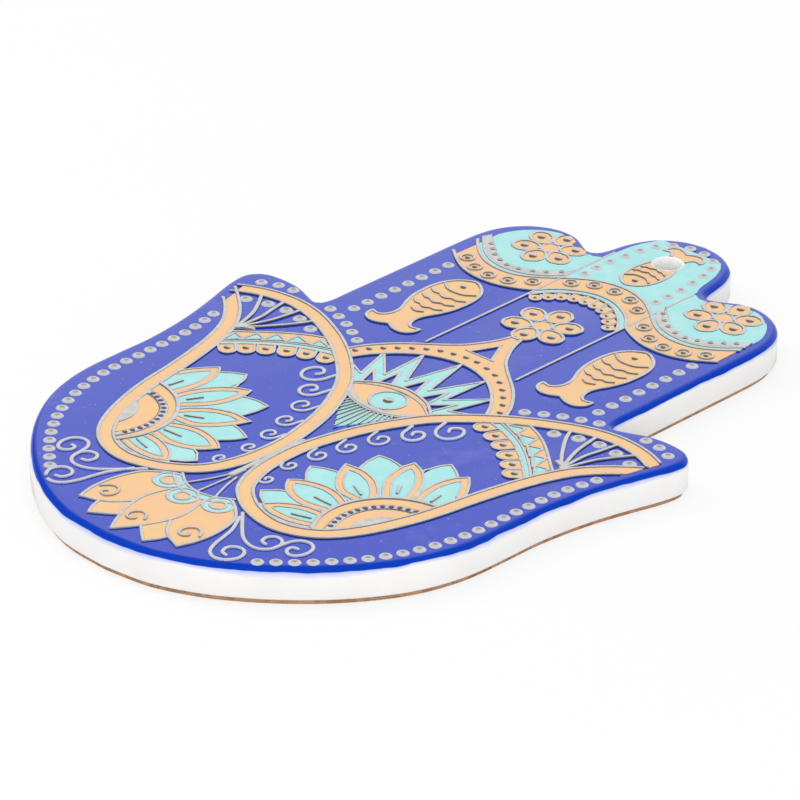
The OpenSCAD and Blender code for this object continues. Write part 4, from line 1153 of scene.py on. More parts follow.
    def glaze(self) -> bpy.types.Object:
        """Builds the cobalt coat as a thin closed shell over the face and the roll."""
        bm = bmesh.new()
        self.half(bm, 0.0, self.hole_r + 0.4, self.lip_z)
        raise_faces(bm, FACE_Z - self.lip_z)
        round_off(bm, self.rims(bm, FACE_Z, hole=False), self.roll * 0.97, 9)
        round_off(bm, self.rims(bm, FACE_Z, hole=True), 0.25, 3)
        under = [f for f in bm.faces if f.normal.z < -0.9]
        bmesh.ops.delete(bm, geom=under, context="FACES_ONLY")
        low = FACE_Z - self.coat
        for v in bm.verts:
            near = math.hypot(v.co.x, v.co.y - HOLE_Y * MM) < self.hole_reach * MM
            if near and v.co.z < low * MM:
                v.co.z = low * MM
        bmesh.ops.solidify(bm, geom=bm.faces[:], thickness=self.coat * MM)
        bmesh.ops.recalc_face_normals(bm, faces=bm.faces[:])
        return self.shop.hang("plate_glaze", bm, Finish.COBALT, ["cobalt_glaze"], sharp=40.0)

    def cork(self) -> bpy.types.Object:
        """Builds the cork sheet with its wider hole and its slightly rubbed edges."""
        bm = bmesh.new()
        self.half(bm, self.cork_inset, self.hole_r + self.cork_gap, 0.0)
        raise_faces(bm, FILM_Z)
        rubbed = self.rims(bm, 0.0, hole=False) + self.rims(bm, FILM_Z, hole=False)
        round_off(bm, rubbed, self.cork_rub, 2)
        return self.shop.hang("cork_sheet", bm, Finish.CORK, ["cork_pad"], sharp=40.0)

    def film(self) -> bpy.types.Object:
        """Dresses the glue film, whose solid stays as it is."""
        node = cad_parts["adhesive_film"]
        node.data.materials.clear()
        node.data.materials.append(self.shop.finishes[Finish.FILM])
        return node

    def build(self) -> None:
        """Builds body, coat, cork and film."""
        self.body()
        self.glaze()
        self.cork()
        self.film()


LOOP: Line = [
    (61, 2.6), (57.5, 5.2), (52, 7.9), (45, 9.1), (38, 8.1), (31, 5.2), (24, 1.1), (17.5, -4.1),
    (11.9, -10), (8, -16.7), (5.1, -23.6), (3.1, -31), (2, -37.5), (2, -44), (2.9, -50.5),
    (5.5, -56.8), (10, -60.9), (15, -63.3), (20.5, -64.2), (26, -62.7), (30.5, -59.2),
    (34.2, -53.2), (37.2, -45), (38.9, -38), (40.2, -30), (41.8, -22), (43.9, -14),
    (46.7, -7.4), (50.5, -2.4), (55, 1.7), (60, 5.6)]
LOOP_W = 3.1


def loop_area(extra: float, side: Side) -> Area:
    """Returns the plan of a loop band, grown by extra across its width."""
    line = smooth(LOOP, 4)
    half = (LOOP_W + BEAD + extra) / 2
    return Area(sided(beside(line, half) + back(beside(line, -half)), side))


LOOPS = [loop_area(-0.5, side) for side in SIDES]
THUMB_ROOM = Area(smooth(LOOP[:9], 4) + [(30, -22)] + smooth(LOOP[25:], 4))

DIVIDER: Line = [(12.3, 14.8), (12.3, 40), (12.4, 60), (12.5, 70), (12.2, 77), (11.4, 81.5),
                 (9.5, 86)]
WAVE_TOP: Line = [(0, 62.4), (4, 61.8), (8, 60.1), (12.3, 56.8), (16, 53.6), (20, 51.4),
                  (24, 50.8), (28, 51.4), (32, 53.6), (36, 57.2), (39, 61)]
WAVE_LOW: Line = [(0, 56.2), (4, 55.5), (8, 53.3), (10.5, 51.1), (12.3, 48.8), (15.5, 46.8),
                  (19.5, 45.2), (24, 44.7), (28.5, 45.4), (33, 47.6), (39, 52.4)]
SIDE_STRIP: Line = [(12.4, 59), (15, 55.7), (18, 53.6), (21.5, 52.4), (25, 52.2), (28.5, 53),
                    (32, 55.1), (35, 58), (39, 62.4)]
CHAIN_TOP: Line = [(12.4, 62), (13.7, 60.4), (17.2, 57.3), (19.2, 55.7), (22, 54.8),
                   (25.3, 54.5), (28, 55.4), (30.8, 57.4), (33.5, 59.8), (39, 65)]
CHAIN: Line = [(13.9, 59), (16.2, 56.7), (18.5, 55.1), (21.4, 53.8), (24.4, 53.5), (27, 54.3),
               (29.5, 55.5), (31.6, 57.2), (33.6, 58.9)]
ARCH_STRIP: Line = [(0, 54.8), (4, 54), (7.6, 51.6), (10.2, 48.9), (12.2, 45.8)]
RINGS: Line = [(0, 59.7), (4.9, 58.9), (9.1, 56.3), (15.2, 51.1), (19.3, 48), (23.9, 47),
               (28.5, 47.9), (32.6, 50.2)]
LOBES: list[tuple[Point, Point]] = [
    ((1.35, 54.3), (1.25, 51.7)), ((4.15, 53.5), (3.8, 51.1)), ((6.9, 51.8), (6.2, 49.8)),
    ((9.1, 49.7), (8.1, 48)), ((10.9, 47.2), (9.9, 45.9))]
MIDDLE_FINGER = Area(smooth(DIVIDER, 4) + flip(back(smooth(DIVIDER, 4))))
SIDE_FINGER = Area([(12.3, 40), (37.3, 40), (37.3, 80), (12.6, 80)])
BEADS_TO = Area([(-37.3, 20), (37.3, 20), (37.3, 95), (-37.3, 95)])


def capsule(foot: Point, end: Point, width: float) -> Line:
    """Returns the U of a round-ended lobe, from one side of its foot to the other."""
    dx, dy = end[0] - foot[0], end[1] - foot[1]
    turn = math.atan2(dy, dx)
    r = width / 2
    arc = [(end[0] + r * math.cos(turn + a), end[1] + r * math.sin(turn + a))
           for a in [math.radians(d) for d in range(90, -91, -15)]]
    nx, ny = -math.sin(turn) * r, math.cos(turn) * r
    return [(foot[0] + nx, foot[1] + ny)] + arc + [(foot[0] - nx, foot[1] - ny)]


@dataclass
class Fingers:
    """Wave band, dividers, chain, scallops, rosettes and dots of the three fingers."""

    shop: Workshop
    strip_w: float = 0.72
    divider_w: float = 0.62
    lump_w: float = 1.9
    lump_h: float = 0.52
    ring_r: float = 1.45
    lobe_w: float = 2.3

    def dividers(self) -> None:
        """Pipes the two lines between the fingers and the chain over each side wave."""
        flat = self.shop.ground.flat
        lines, lumps, bands = [], [], []
        for side in SIDES:
            lines.append(Stroke(sided(smooth(DIVIDER), side), self.divider_w))
            top, low = (sided([p for p in smooth(edge) if SIDE_FINGER.has(p)], side)
                        for edge in (CHAIN_TOP, SIDE_STRIP))
            bands.append([p for p in top if flat.has(p)] + [p for p in back(low) if flat.has(p)])
            lumps += [p for p in sided(CHAIN, side) if flat.has(p)]
        self.shop.relief("finger_line_beads", ["finger_lines"], trimmed(lines, [flat]),
                         domes(lumps, self.lump_w, self.lump_h, heart=0.9), bands,
                         painted_shade=0.6, bloom=0.3)

    def waves(self) -> None:
        """Pipes the wave band's edges, its thin strips and its rings."""
        flat = self.shop.ground.flat
        lines = [Stroke(smooth(both(WAVE_TOP))), Stroke(smooth(both(WAVE_LOW)))]
        lines.append(Stroke(smooth(both(ARCH_STRIP)), self.strip_w))
        for side in SIDES:
            strip = trimmed([Stroke(smooth(SIDE_STRIP), self.strip_w)], [SIDE_FINGER])
            lines += mirrored(strip, side)
        self.shop.relief("wave_band_beads", ["wave_band_lines"], trimmed(lines, [flat, BEADS_TO]))
        at = RINGS + flip(RINGS[1:])
        rings = [Stroke(circle(p, self.ring_r, 24), 0.54, True, ENAMEL_H) for p in at]
        self.shop.relief("wave_band_ring_beads", ["wave_band_rings"], rings,
                         domes(at, 1.1, 0.4, ENAMEL_H), painted_shade=0.65, bloom=0.3)

    def scallops(self) -> None:
        """Pipes the row of lobes that hangs inside the middle wave."""
        shapes = [Area(capsule(foot, end, self.lobe_w - 0.5)) for foot, end in LOBES]
        under = Area(both(smooth(ARCH_STRIP)) + [(14, 30), (-14, 30)])
        lines, pips = [], []
        for side in SIDES:
            for i, (foot, end) in enumerate(LOBES):
                lobe = Stroke(smooth(capsule(foot, end, self.lobe_w), 2), FINE)
                others = shapes[:i] + shapes[i + 1:]
                lines += mirrored(trimmed([lobe], [under, MIDDLE_FINGER], others), side)
            pips += sided([end for _, end in LOBES], side)
        self.shop.relief("scallop_beads", ["scallop_arch_lines"], lines,
                         domes(pips, 0.75, 0.3, ENAMEL_H))

    def dots(self) -> None:
        """Sets the dots on the fingers and around the middle finger tip."""
        low = spread([(33.3, 15.9), (33.3, 45)], 8)
        low += spread([(22.8, 5.5), (29.5, 9.5), (36.6, 12.3)], 5)
        tip = [(9.7, 62.3), (9.8, 66.2), (9.7, 70.4), (9.2, 74.8), (8.7, 79), (7.6, 82.8),
               (5.5, 85.9), (1.9, 87.4)]
        made = domes(low + flip(low), DOT_W, DOT_H, heart=1.0)
        tips = [(x - 0.4, y - 0.4) for x, y in tip + flip(tip)]
        made += domes(tips, 2.6, 0.3, ENAMEL_H - 0.05, heart=1.0)
        self.shop.relief("finger_dot_domes", ["finger_dots"], [], made)

    def build(self) -> None:
        """Builds all relief and fields of the fingers."""
        self.dividers()
        self.waves()
        self.scallops()
        self.dots()
        for tip in ("middle", "left", "right"):
            self.shop.field(f"fingertip_{tip}_enamel", f"fingertip_field_{tip}", Finish.TURQUOISE)
        self.shop.field("wave_band_enamel", "wave_band_gold", Finish.GOLD)
        self.shop.field("wave_strip_enamel", "wave_strip_turquoise", Finish.TURQUOISE)
        self.shop.field("scallop_enamel", "scallop_arch_gold", Finish.GOLD)


@dataclass
class Rosettes:
    """Three six-petalled rosettes with gold petals and hearts."""

    shop: Workshop
    petals: int = 6
    drawn_r: float = 5.6
    ring_r: float = 2.0
    core_r: float = 3.1
    core_h: float = 0.19
    half_petal: Points = ((2.1, 0), (2.8, 1.25), (4.6, 2.35), (6.7, 2.2), (8, 0.9), (8.2, 0))

    def one(self, name: str, at: Point, radius: float) -> None:
        """Builds one rosette.

        Args:
            name: Its place, as in the CAD nodes.
            at: Its middle.
            radius: Distance of a petal's dot from the middle.
        """
        petal = list(self.half_petal) + [(x, -y) for x, y in self.half_petal[-2:0:-1]]
        flat = self.shop.ground.flat
        lines = [Stroke(circle(at, self.ring_r, 30), 0.62, True)]
        pips = []
        for i in range(self.petals):
            turn = 90 + 360 / self.petals * i
            lines += strokes(turned(petal, at, turn, radius / self.drawn_r), BEAD, closed=True)
            pips += turned([(radius, 0)], at, turn)
        self.shop.relief(f"rosette_{name}_beads", [f"rosette_{name}_lines"],
                         trimmed(lines, [flat]),
                         domes([p for p in pips if flat.has(p)], 1.8, 0.42, ENAMEL_H),
                         [circle(at, self.core_r, 24)], self.core_h)
        self.shop.field(f"rosette_{name}_enamel", f"rosette_{name}_gold", Finish.GOLD)

    def build(self) -> None:
        """Builds the three rosettes."""
        self.one("left", (-23.5, 66.2), 5.5)
        self.one("right", (23.9, 66.4), 5.5)
        self.one("centre", CENTRE_ROSETTE, 5.7)


@dataclass
class Fishes:
    """Three fish: two in the side fingers and a small one around the hanging hole."""

    shop: Workshop
    hole_r: float = 3.75
    scale_rows: int = 3
    scale_from: float = 9.6
    scale_step: float = 3.15
    scale_taper: float = 0.09
    flank: Points = ((0, 0), (2.9, -1.6), (4.7, -4.1), (5.5, -7.2), (5.6, -10.3), (5.3, -13.5),
                     (4.4, -16.6), (3.2, -19.3), (2.7, -21.6), (3.1, -23.8), (4.5, -25.2),
                     (6.5, -24.8))
    tail: Points = ((6.5, -24.8), (6.5, -26.2), (5.7, -27.6), (4, -28.4), (2, -28.1), (0, -27))
    gill: Points = ((-4.2, -5), (-2.3, -6.5), (0, -6.9), (2.3, -6.5), (4.2, -5))
    tail_root: Points = ((-1.5, -18.3), (0, -19), (1.5, -18.3))
    scale_row: Points = ((-4.6, 0.9), (-3.1, 0), (-1.7, 0.1), (0, -0.7), (1.7, 0.1), (3.1, 0),
                         (4.6, 0.9))

    def one(self, name: str, at: Point, degrees: float, size: float) -> None:
        """Builds one fish.

        Args:
            name: Its place, as in the CAD nodes.
            at: Place of its nose.
            degrees: Its turn.
            size: Its scale.
        """
        def lay(points: Sequence[Point], width: float, lift: float) -> Stroke:
            """Returns one bead of the fish in its place."""
            return Stroke(turned(smooth(points), at, degrees, size), width, lift=lift)

        hole = Area(circle((-PRINT_X, HOLE_Y - PRINT_Y), self.hole_r))
        body = [lay(both(self.flank), BEAD, 0), lay(self.tail, BEAD, 0),
                lay(flip(self.tail), BEAD, 0)]
        marks = [lay(self.gill, FINE, ENAMEL_H), lay(self.tail_root, FINE, ENAMEL_H)]
        for j in range(self.scale_rows):
            row = [(x * (1 - self.scale_taper * j), y - self.scale_from - self.scale_step * j)
                   for x, y in self.scale_row]
            marks.append(lay(row, FINE, ENAMEL_H))
        eye = turned([(-0.3, -3.7)], at, degrees, size)
        self.shop.relief(f"fish_{name}_beads", [f"fish_{name}_lines"],
                         trimmed(body + marks, [], [hole]), domes(eye, 1.4, 0.4, ENAMEL_H))
        self.shop.field(f"fish_{name}_enamel", f"fish_{name}_gold", Finish.GOLD)

    def build(self) -> None:
        """Builds the three fish."""
        self.one("left", (-23.4, 42.7), 0, 1)
        self.one("right", (23.4, 42.7), 0, 1)
        self.one("middle", (-0.7, 64), 180, 0.745)


CREASE: Line = [(0, -3.9), (5.3, -5.1), (8.2, -6.8), (11, -9.3)]
ARCH_OUT: Line = [(0, 31), (1.1, 29), (1.7, 26.8), (2.7, 24.2), (4, 21.8), (5.6, 19.3),
                  (7.8, 17), (10, 15.1), (12.3, 13.2), (14.8, 11), (17, 8.6), (18.9, 6.1),
                  (20.4, 3.6), (22, 0)]
ARCH_IN: Line = [(0, 12.4), (3, 12.1), (6, 11.2), (8.8, 9.9), (11, 8.3), (13, 6.5), (15, 4.3),
                 (16.8, 1.9), (18.6, -1.5)]


@dataclass
class EyeShrine:
    """Arch with its spire, the crown of rays, the eye and its lashes."""

    shop: Workshop
    rosette_r: float = 7.6
    iris_at: Point = (0.3, -10.2)
    iris_r: float = 3.9
    lashes_from: Point = (0.2, -4)
    lashes_each_side: int = 7
    lash_step: float = 4.45
    rays: Points = ((0, 12), (3.1, -1.4), (8.4, 9.8), (8, -2.3), (14.9, 5.1), (11.9, -5.2),
                    (18, -2.2))
    upper_lid: Points = ((0, -5.5), (3.5, -5.9), (6.6, -7), (10, -9.2))
    lower_lid: Points = ((0, -15.9), (3.5, -15.4), (6.5, -14.3), (9.4, -12), (10.4, -10.6))
    lower_lid_in: Points = ((0, -14.5), (3.4, -14.2), (5.9, -13.2), (8.4, -11.5), (10, -9.8))

    def arch(self) -> None:
        """Pipes the arch, its window and its dots."""
        dots: Line = [(1.5, 15.1), (7.6, 13.5), (12.8, 9.9), (17.3, 5.2), (19.7, 1.6)]
        lines = [Stroke(smooth(ARCH_OUT)), Stroke(smooth(flip(ARCH_OUT))),
                 Stroke(smooth(both(ARCH_IN)))]
        lines += strokes([(-2.9, 17.9), (0, 24), (2.9, 17.9)], BEAD * 0.75)
        lines += [Stroke([(-3.8, 17.7), (3.6, 17.7)], BEAD * 0.75)]
        made = trimmed(lines, [], LOOPS + [Area(circle(CENTRE_ROSETTE, self.rosette_r))])
        pips = spread(dots, 8) + flip(spread(dots, 9))
        self.shop.relief("arch_beads", ["arch_lines"], made, domes(pips, 1.35, 0.4, ENAMEL_H))
        self.shop.field("arch_enamel", "arch_gold", Finish.GOLD)

    def crown(self) -> None:
        """Pipes the rays and the notches between their feet."""
        notches: list[Line] = [[(3.9, -4.6), (6.5, 1), (6.8, -5.6)],
                               [(7.2, -6.2), (11.3, -1.9), (9.4, -8.2)]]
        above = Area(both(smooth(CREASE)) + [(22, 0), (22, 20), (-22, 20), (-22, 0)])
        under = Area(both(smooth(ARCH_IN)) + [(22, -20), (-22, -20)])
        lines = strokes([(-1.9, -4.4), (0, 2.2), (1.9, -4.4)], FINE * 1.35)
        for side in SIDES:
            lines += mirrored(strokes(self.rays, FINE * 1.2), side)
            for notch in notches:
                lines += mirrored(strokes(notch, FINE * 1.35), side)
        self.shop.relief("ray_crown_beads", ["ray_crown_lines"],
                         trimmed(lines, [above, under], LOOPS))
        self.shop.field("ray_crown_enamel", "ray_crown_turquoise", Finish.TURQUOISE)

    def eye(self) -> None:
        """Pipes the lids and the iris ring, floods the eye and sets the pupil."""
        iris = Area(circle(self.iris_at, self.iris_r - 0.2))
        low, high = smooth(both(self.lower_lid)), smooth(both(self.lower_lid_in))
        between_lids = [((a[0] + b[0]) / 2, (a[1] + b[1]) / 2) for a, b in zip(low, high)]
        lids = [Stroke(smooth(both(CREASE))), Stroke(smooth(both(self.upper_lid)), BEAD * 0.8),
                Stroke(low, BEAD * 0.9), Stroke(high, BEAD * 0.8),
                Stroke(between_lids, 1.3, lift=-0.12)]
        lines = trimmed(lids, [], LOOPS + [iris])
        lines.append(Stroke(circle(self.iris_at, self.iris_r, 48), BEAD * 0.85, True))
        self.shop.relief("eye_beads", ["eye_lines"], lines)
        self.shop.relief("eye_pupil_dome", ["eye_pupil"], [],
                         [Dome(self.iris_at, 2.3, 0.42, ENAMEL_H, 0.2)])
        self.shop.field("eye_enamel", "eye_gold", Finish.GOLD)
        self.shop.field("iris_enamel", "eye_iris", Finish.TURQUOISE)

    def lashes(self) -> None:
        """Lays the lashes on their turquoise ground."""
        low = both(smooth(self.lower_lid))
        ground = Area(low + [(7.4, -13.6), (3.6, -21), (0.2, -26.2), (-3.6, -21),
                             (-7.4, -13.6)])
        over = Area([(x, y - 0.5) for x, y in low] + [(12, -5), (-12, -5)])
        lines = []
        for i in range(-self.lashes_each_side, self.lashes_each_side + 1):
            stroke = turned([(9, 0), (25, 0)], self.lashes_from, -90 + i * self.lash_step)
            lines.append(Stroke(stroke, 0.4, lift=ENAMEL_H))
        self.shop.relief("lash_beads", ["lash_lines"], trimmed(lines, [ground], LOOPS + [over]))
        self.shop.field("lash_enamel", "lash_turquoise", Finish.TURQUOISE)

    def build(self) -> None:
        """Builds arch, crown, eye and lashes."""
        self.arch()
        self.crown()
        self.eye()
        self.lashes()


@dataclass
class Loops:
    """The two gold loops, each with an edge bead on both sides, and the silver between them."""

    shop: Workshop

    def build(self) -> None:
        """Builds both loops."""
        line = smooth(LOOP, 8)
        for side in SIDES:
            name = side.word
            edges = [Stroke(beside(line, LOOP_W / 2)), Stroke(beside(line, -LOOP_W / 2))]
            if side is Side.RIGHT:
                edges += [Stroke([(0, -34.5), (0, -50)], 0.7),
                          Stroke([(0, -47), (0, -53)], 1.5, lift=-0.2),
                          Stroke([(0, -52), (0, -55.3)], 1.9, lift=-0.32)]
            self.shop.relief(f"loop_{name}_beads", [f"loop_{name}_lines"],
                             trimmed(mirrored(edges, side), [self.shop.ground.flat]))
            self.shop.field(f"loop_{name}_enamel", f"loop_{name}_gold", Finish.GOLD)


@dataclass
class Thumbs:
    """Fan, band of triangles, strip and lobes inside the loop over each thumb."""

    shop: Workshop
    lobe_r: float = 1.75
    band_top: Points = ((25.5, 2.4), (30, 0.6), (33.2, -1.2), (36.2, -3.4), (39.2, -6),
                        (41.8, -8.3), (45, -11))
    band_low: Points = ((21, -1.1), (24, -2.1), (27, -3.3), (30, -4.7), (33, -6.6), (36, -8.9),
                        (39, -11.5), (42.5, -15))
    strip_low: Points = ((19.5, -2.6), (23, -3.4), (26.5, -4.6), (30, -6.2), (33, -8.3),
                         (36, -10.6), (39, -13.3), (42.5, -17))
    fan: tuple[Points, ...] = (
        ((34.7, 6), (36.5, 2.2), (40.2, -3.2), (43.4, -7)),
        ((40.2, 7.6), (40.8, 3), (41.6, -1), (43.6, -6.6)),
        ((45.4, 8), (44.6, 3), (43.9, -1), (44, -6.6)),
        ((50.8, 6.6), (48.2, 2.6), (46.3, -1), (44.6, -6.6)))
    fan_dots: Points = ((33.1, 2.6), (37.9, 4.5), (42.6, 5.4), (47.3, 4.9), (52.2, 3.3))
    pips: Points = ((21.6, -5), (25.7, -6.5), (29.4, -8.4), (33, -10.8), (36.2, -13.3),
                    (39, -15.9))
    teeth: tuple[Points, ...] = (
        ((23.8, -1.2), (27.9, -0.1), (28, -3)), ((28.4, -2.8), (32.4, -1.8), (32.6, -5.6)),
        ((32.9, -5.2), (36, -4.1), (36.4, -8.4)), ((36.4, -7.7), (39.2, -6.7), (39.8, -11.4)),
        ((39.6, -10.6), (42.6, -9.8), (42.4, -14)))

    def lobe(self, i: int) -> Line:
        """Returns the U of one lobe."""
        r, foot, low = self.lobe_r, 3.8, -0.6
        arc = [(r * math.cos(math.radians(a)), low + r * math.sin(math.radians(a)))
               for a in range(195, 346, 15)]
        return turned([(-r, foot), (-r, low)] + arc + [(r, low), (r, foot)], self.pips[i],
                      -24 - 5 * i)

    def beads(self) -> list[Stroke]:
        """Returns all beads of the right thumb."""
        lines = [Stroke(smooth(self.band_top), BEAD * 0.9),
                 Stroke(smooth(self.band_low), BEAD * 0.8),
                 Stroke(smooth(self.strip_low), BEAD * 0.8)]
        under = Area(smooth(self.strip_low) + [(42, -24), (14, -24), (14, -4)])
        for i in range(len(self.pips)):
            lines += trimmed([Stroke(paced(self.lobe(i), 0.3), FINE * 1.1)], [under])
        for tooth in self.teeth:
            lines += strokes(tooth, FINE * 1.25, closed=True)
        fan = [Stroke(smooth(f), FINE * 1.6) for f in self.fan]
        lines += trimmed(fan, [], [Area(circle(p, 1.5)) for p in self.fan_dots])
        lines += [Stroke([(41.7, -5.9), (45.2, -7.3)], 1.9, lift=-0.33),
                  Stroke([(43, -5.9), (45.5, -9.2)], 1.9, lift=-0.33)]
        return trimmed(lines, [THUMB_ROOM, self.shop.ground.flat], [loop_area(-0.5, Side.RIGHT)])

    def build(self) -> None:
        """Builds both thumbs."""
        wide = self.shop.ground.wide
        for side in SIDES:
            name = side.word
            shown = sided([p for p in self.fan_dots if wide.has(p)], side)
            dots = domes(shown, 3.0, DOT_H, heart=1.0)
            dots += domes(sided(self.pips, side), 1.5, 0.38, ENAMEL_H)
            self.shop.relief(f"thumb_{name}_beads", [f"thumb_{name}_lines"],
                             mirrored(self.beads(), side), dots)
            self.shop.field(f"thumb_{name}_gold_enamel", f"thumb_{name}_gold", Finish.GOLD)
            self.shop.field(f"thumb_{name}_turquoise_enamel", f"thumb_{name}_turquoise",
                            Finish.TURQUOISE)


@dataclass
class Lotuses:
    """Half lotus inside each loop: disc with a row of pearls, pointed petals and leaves behind."""

    shop: Workshop
    disc: Points = ((39.5, -36.7), (37, -36.9), (33.5, -37.8), (30.3, -39.4), (27.6, -41.7),
                    (25.6, -44.4), (24.3, -47.3), (23.7, -50.2), (23.7, -53.2), (24.4, -56.5),
                    (26.6, -61))
    strip: Points = ((39, -41.2), (35.6, -41.3), (32.5, -42.3), (29.7, -44.2), (27.7, -47.1),
                     (26.8, -50.5), (26.9, -53.9), (27.8, -57.1), (29.4, -60.6))
    core: Points = ((35.2, -46), (33.2, -47.5), (31.9, -49.3), (31.1, -51.8), (31.1, -53.4),
                    (31.6, -54.8), (32.6, -53), (33.5, -50.5), (34.4, -48))
    wedge: Points = ((12.8, -59.7), (15.2, -61.1), (18, -61.5), (21.5, -61.3), (25.2, -60.2),
                     (26.2, -60.7), (24, -61.5), (20.5, -62.6), (15.5, -61.9), (12.4, -60.4))
    petals: tuple[tuple[Points, Points], ...] = (
        (((38.8, -30.6), (37.6, -28.2), (35.8, -25.6), (33.8, -23.4)),
         ((33.8, -23.4), (32, -25.8), (31.2, -28.4), (30.9, -31), (31.3, -34.2), (32.4, -38.2))),
        (((32, -38.4), (31, -35.2), (29.6, -32.4), (27.6, -29.8), (25.3, -27.8), (22.2, -26.4)),
         ((22.2, -26.4), (21.6, -29.4), (21.9, -32.4), (22.8, -35.2), (24.5, -38),
          (27.6, -41.4))),
        (((26.8, -42.4), (25.4, -40.5), (23.2, -38.4), (21, -37), (17.5, -35.9), (12.9, -36.2)),
         ((12.9, -36.2), (14.4, -39.8), (16.2, -42.4), (18.2, -44.5), (20.6, -45.8), (25, -46))),
        (((24.3, -48), (20.6, -46.3), (17.2, -45.7), (13.6, -46.3), (11, -47.5), (9.4, -48.9)),
         ((9.4, -48.9), (11, -51.2), (13, -52.9), (15.8, -54), (19, -54.3), (24, -53.2))),
        (((23.9, -54), (20.2, -54.4), (17.2, -55.5), (14.7, -57.2), (12.8, -59.5)),
         ((12.8, -59.5), (15.2, -60.9), (18, -61.3), (21.5, -61.1), (25, -60))))
    leaves: tuple[Points, ...] = (
        ((26.2, -29), (26.1, -25.9), (26.7, -23.6), (27.8, -21.9), (30.3, -23.3),
         (32.6, -25.2), (33.5, -32), (33.5, -40)),
        ((16.2, -36.4), (15.2, -32.4), (15.1, -29), (17.8, -28.7), (20.3, -29.1),
         (22.2, -29.8), (24, -33), (28.5, -44)),
        ((12.4, -47), (9.9, -44.2), (8.7, -41.8), (11, -40.6), (14.2, -39.7), (18, -39.5),
         (26, -47)),
        ((12, -52.9), (10.2, -54.3), (8.8, -55.8), (10.4, -57.7), (13, -59.4), (16.5, -58.5),
         (26, -56), (20, -51)))
    feet: tuple[tuple[Point, Point], ...] = (
        ((36, -41.5), (42, -34)), ((29.6, -44.6), (34, -41.6)), ((28.2, -47.5), (30, -44.5)),
        ((27.5, -53), (27.5, -48.5)), ((28.2, -58.6), (27.4, -54.5)))
    veins: tuple[tuple[Point, Point], ...] = (
        ((34.9, -33), (35.4, -36.2)), ((26.8, -35.5), (28.4, -38.3)),
        ((20.5, -41.9), (23.8, -43.6)), ((18.2, -50.6), (22.4, -50.8)),
        ((19.7, -58.7), (23.4, -57.5)))
    rim: float = 1.45
    lean: float = 0.55

    def inner(self, outline: Line) -> list[Stroke]:
        """Returns the bead that runs inside a petal, one rim width in from its outline."""
        tree = KDTree(len(outline))
        for i, (x, y) in enumerate(outline):
            tree.insert((x, y, 0), i)
        tree.balance()
        shape = Area(outline)

        def clear(p: Point) -> bool:
            """Returns True where the point is in the petal and far enough from its edge."""
            return shape.has(p) and tree.find((p[0], p[1], 0))[2] > self.rim - 0.06

        closed = outline + outline[:1]
        made = []
        for way in (1, -1):
            made += Stroke(beside(closed, self.rim * way), FINE).kept(clear)
        return made

    def beads(self, side: Side) -> list[Stroke]:
        """Returns all beads of a lotus, drawn on the right."""
        room = Area(smooth(LOOP[8:26], 4))
        disc = Area(smooth(self.disc) + [(33, -62), (41, -48)])
        shapes = [paced(smooth(a) + smooth(b) + list(foot) + [a[0]], 0.2)
                  for (a, b), foot in zip(self.petals, self.feet)]
        lines = []
        for (a, b), shape in zip(self.petals, shapes):
            lines += trimmed([Stroke(smooth(a), FINE * 1.2), Stroke(smooth(b), FINE * 1.2)],
                             [], [disc])
            lines += trimmed(self.inner(shape), [], [disc])
        petals = [Area(s) for s in shapes]
        for leaf in self.leaves:
            lines += trimmed(strokes(leaf, FINE * 1.2, closed=True), [], petals + [disc])
        strip = turned(smooth(self.strip), (self.lean * side.value, 0))
        lines += [Stroke(smooth(self.disc), BEAD * 1.3), Stroke(strip, 2.1, lift=-0.42)]
        lines += [Stroke(list(v), FINE, lift=ENAMEL_H) for v in self.veins]
        return trimmed(lines, [room], [loop_area(-0.5, Side.RIGHT)])

    def build(self) -> None:
        """Builds both lotuses."""
        row = spread(self.strip[1:-1], 13)
        for side in SIDES:
            name = side.word
            core, wedge = smooth(self.core, 3, closed=True), smooth(self.wedge, 3, closed=True)
            self.shop.relief(f"lotus_{name}_beads", [f"lotus_{name}_lines"],
                             mirrored(self.beads(side), side),
                             pads=[sided(core, side), sided(wedge, side)])
            drops = [(x + self.lean, y) for x, y in sided(row, side)]
            self.shop.pearls(f"lotus_{name}_pearls", domes(drops, 1.2, 0.1, 0.32))
            self.shop.field(f"lotus_{name}_gold_enamel", f"lotus_{name}_gold", Finish.GOLD)
            self.shop.field(f"lotus_{name}_turquoise_enamel", f"lotus_{name}_turquoise",
                            Finish.TURQUOISE)


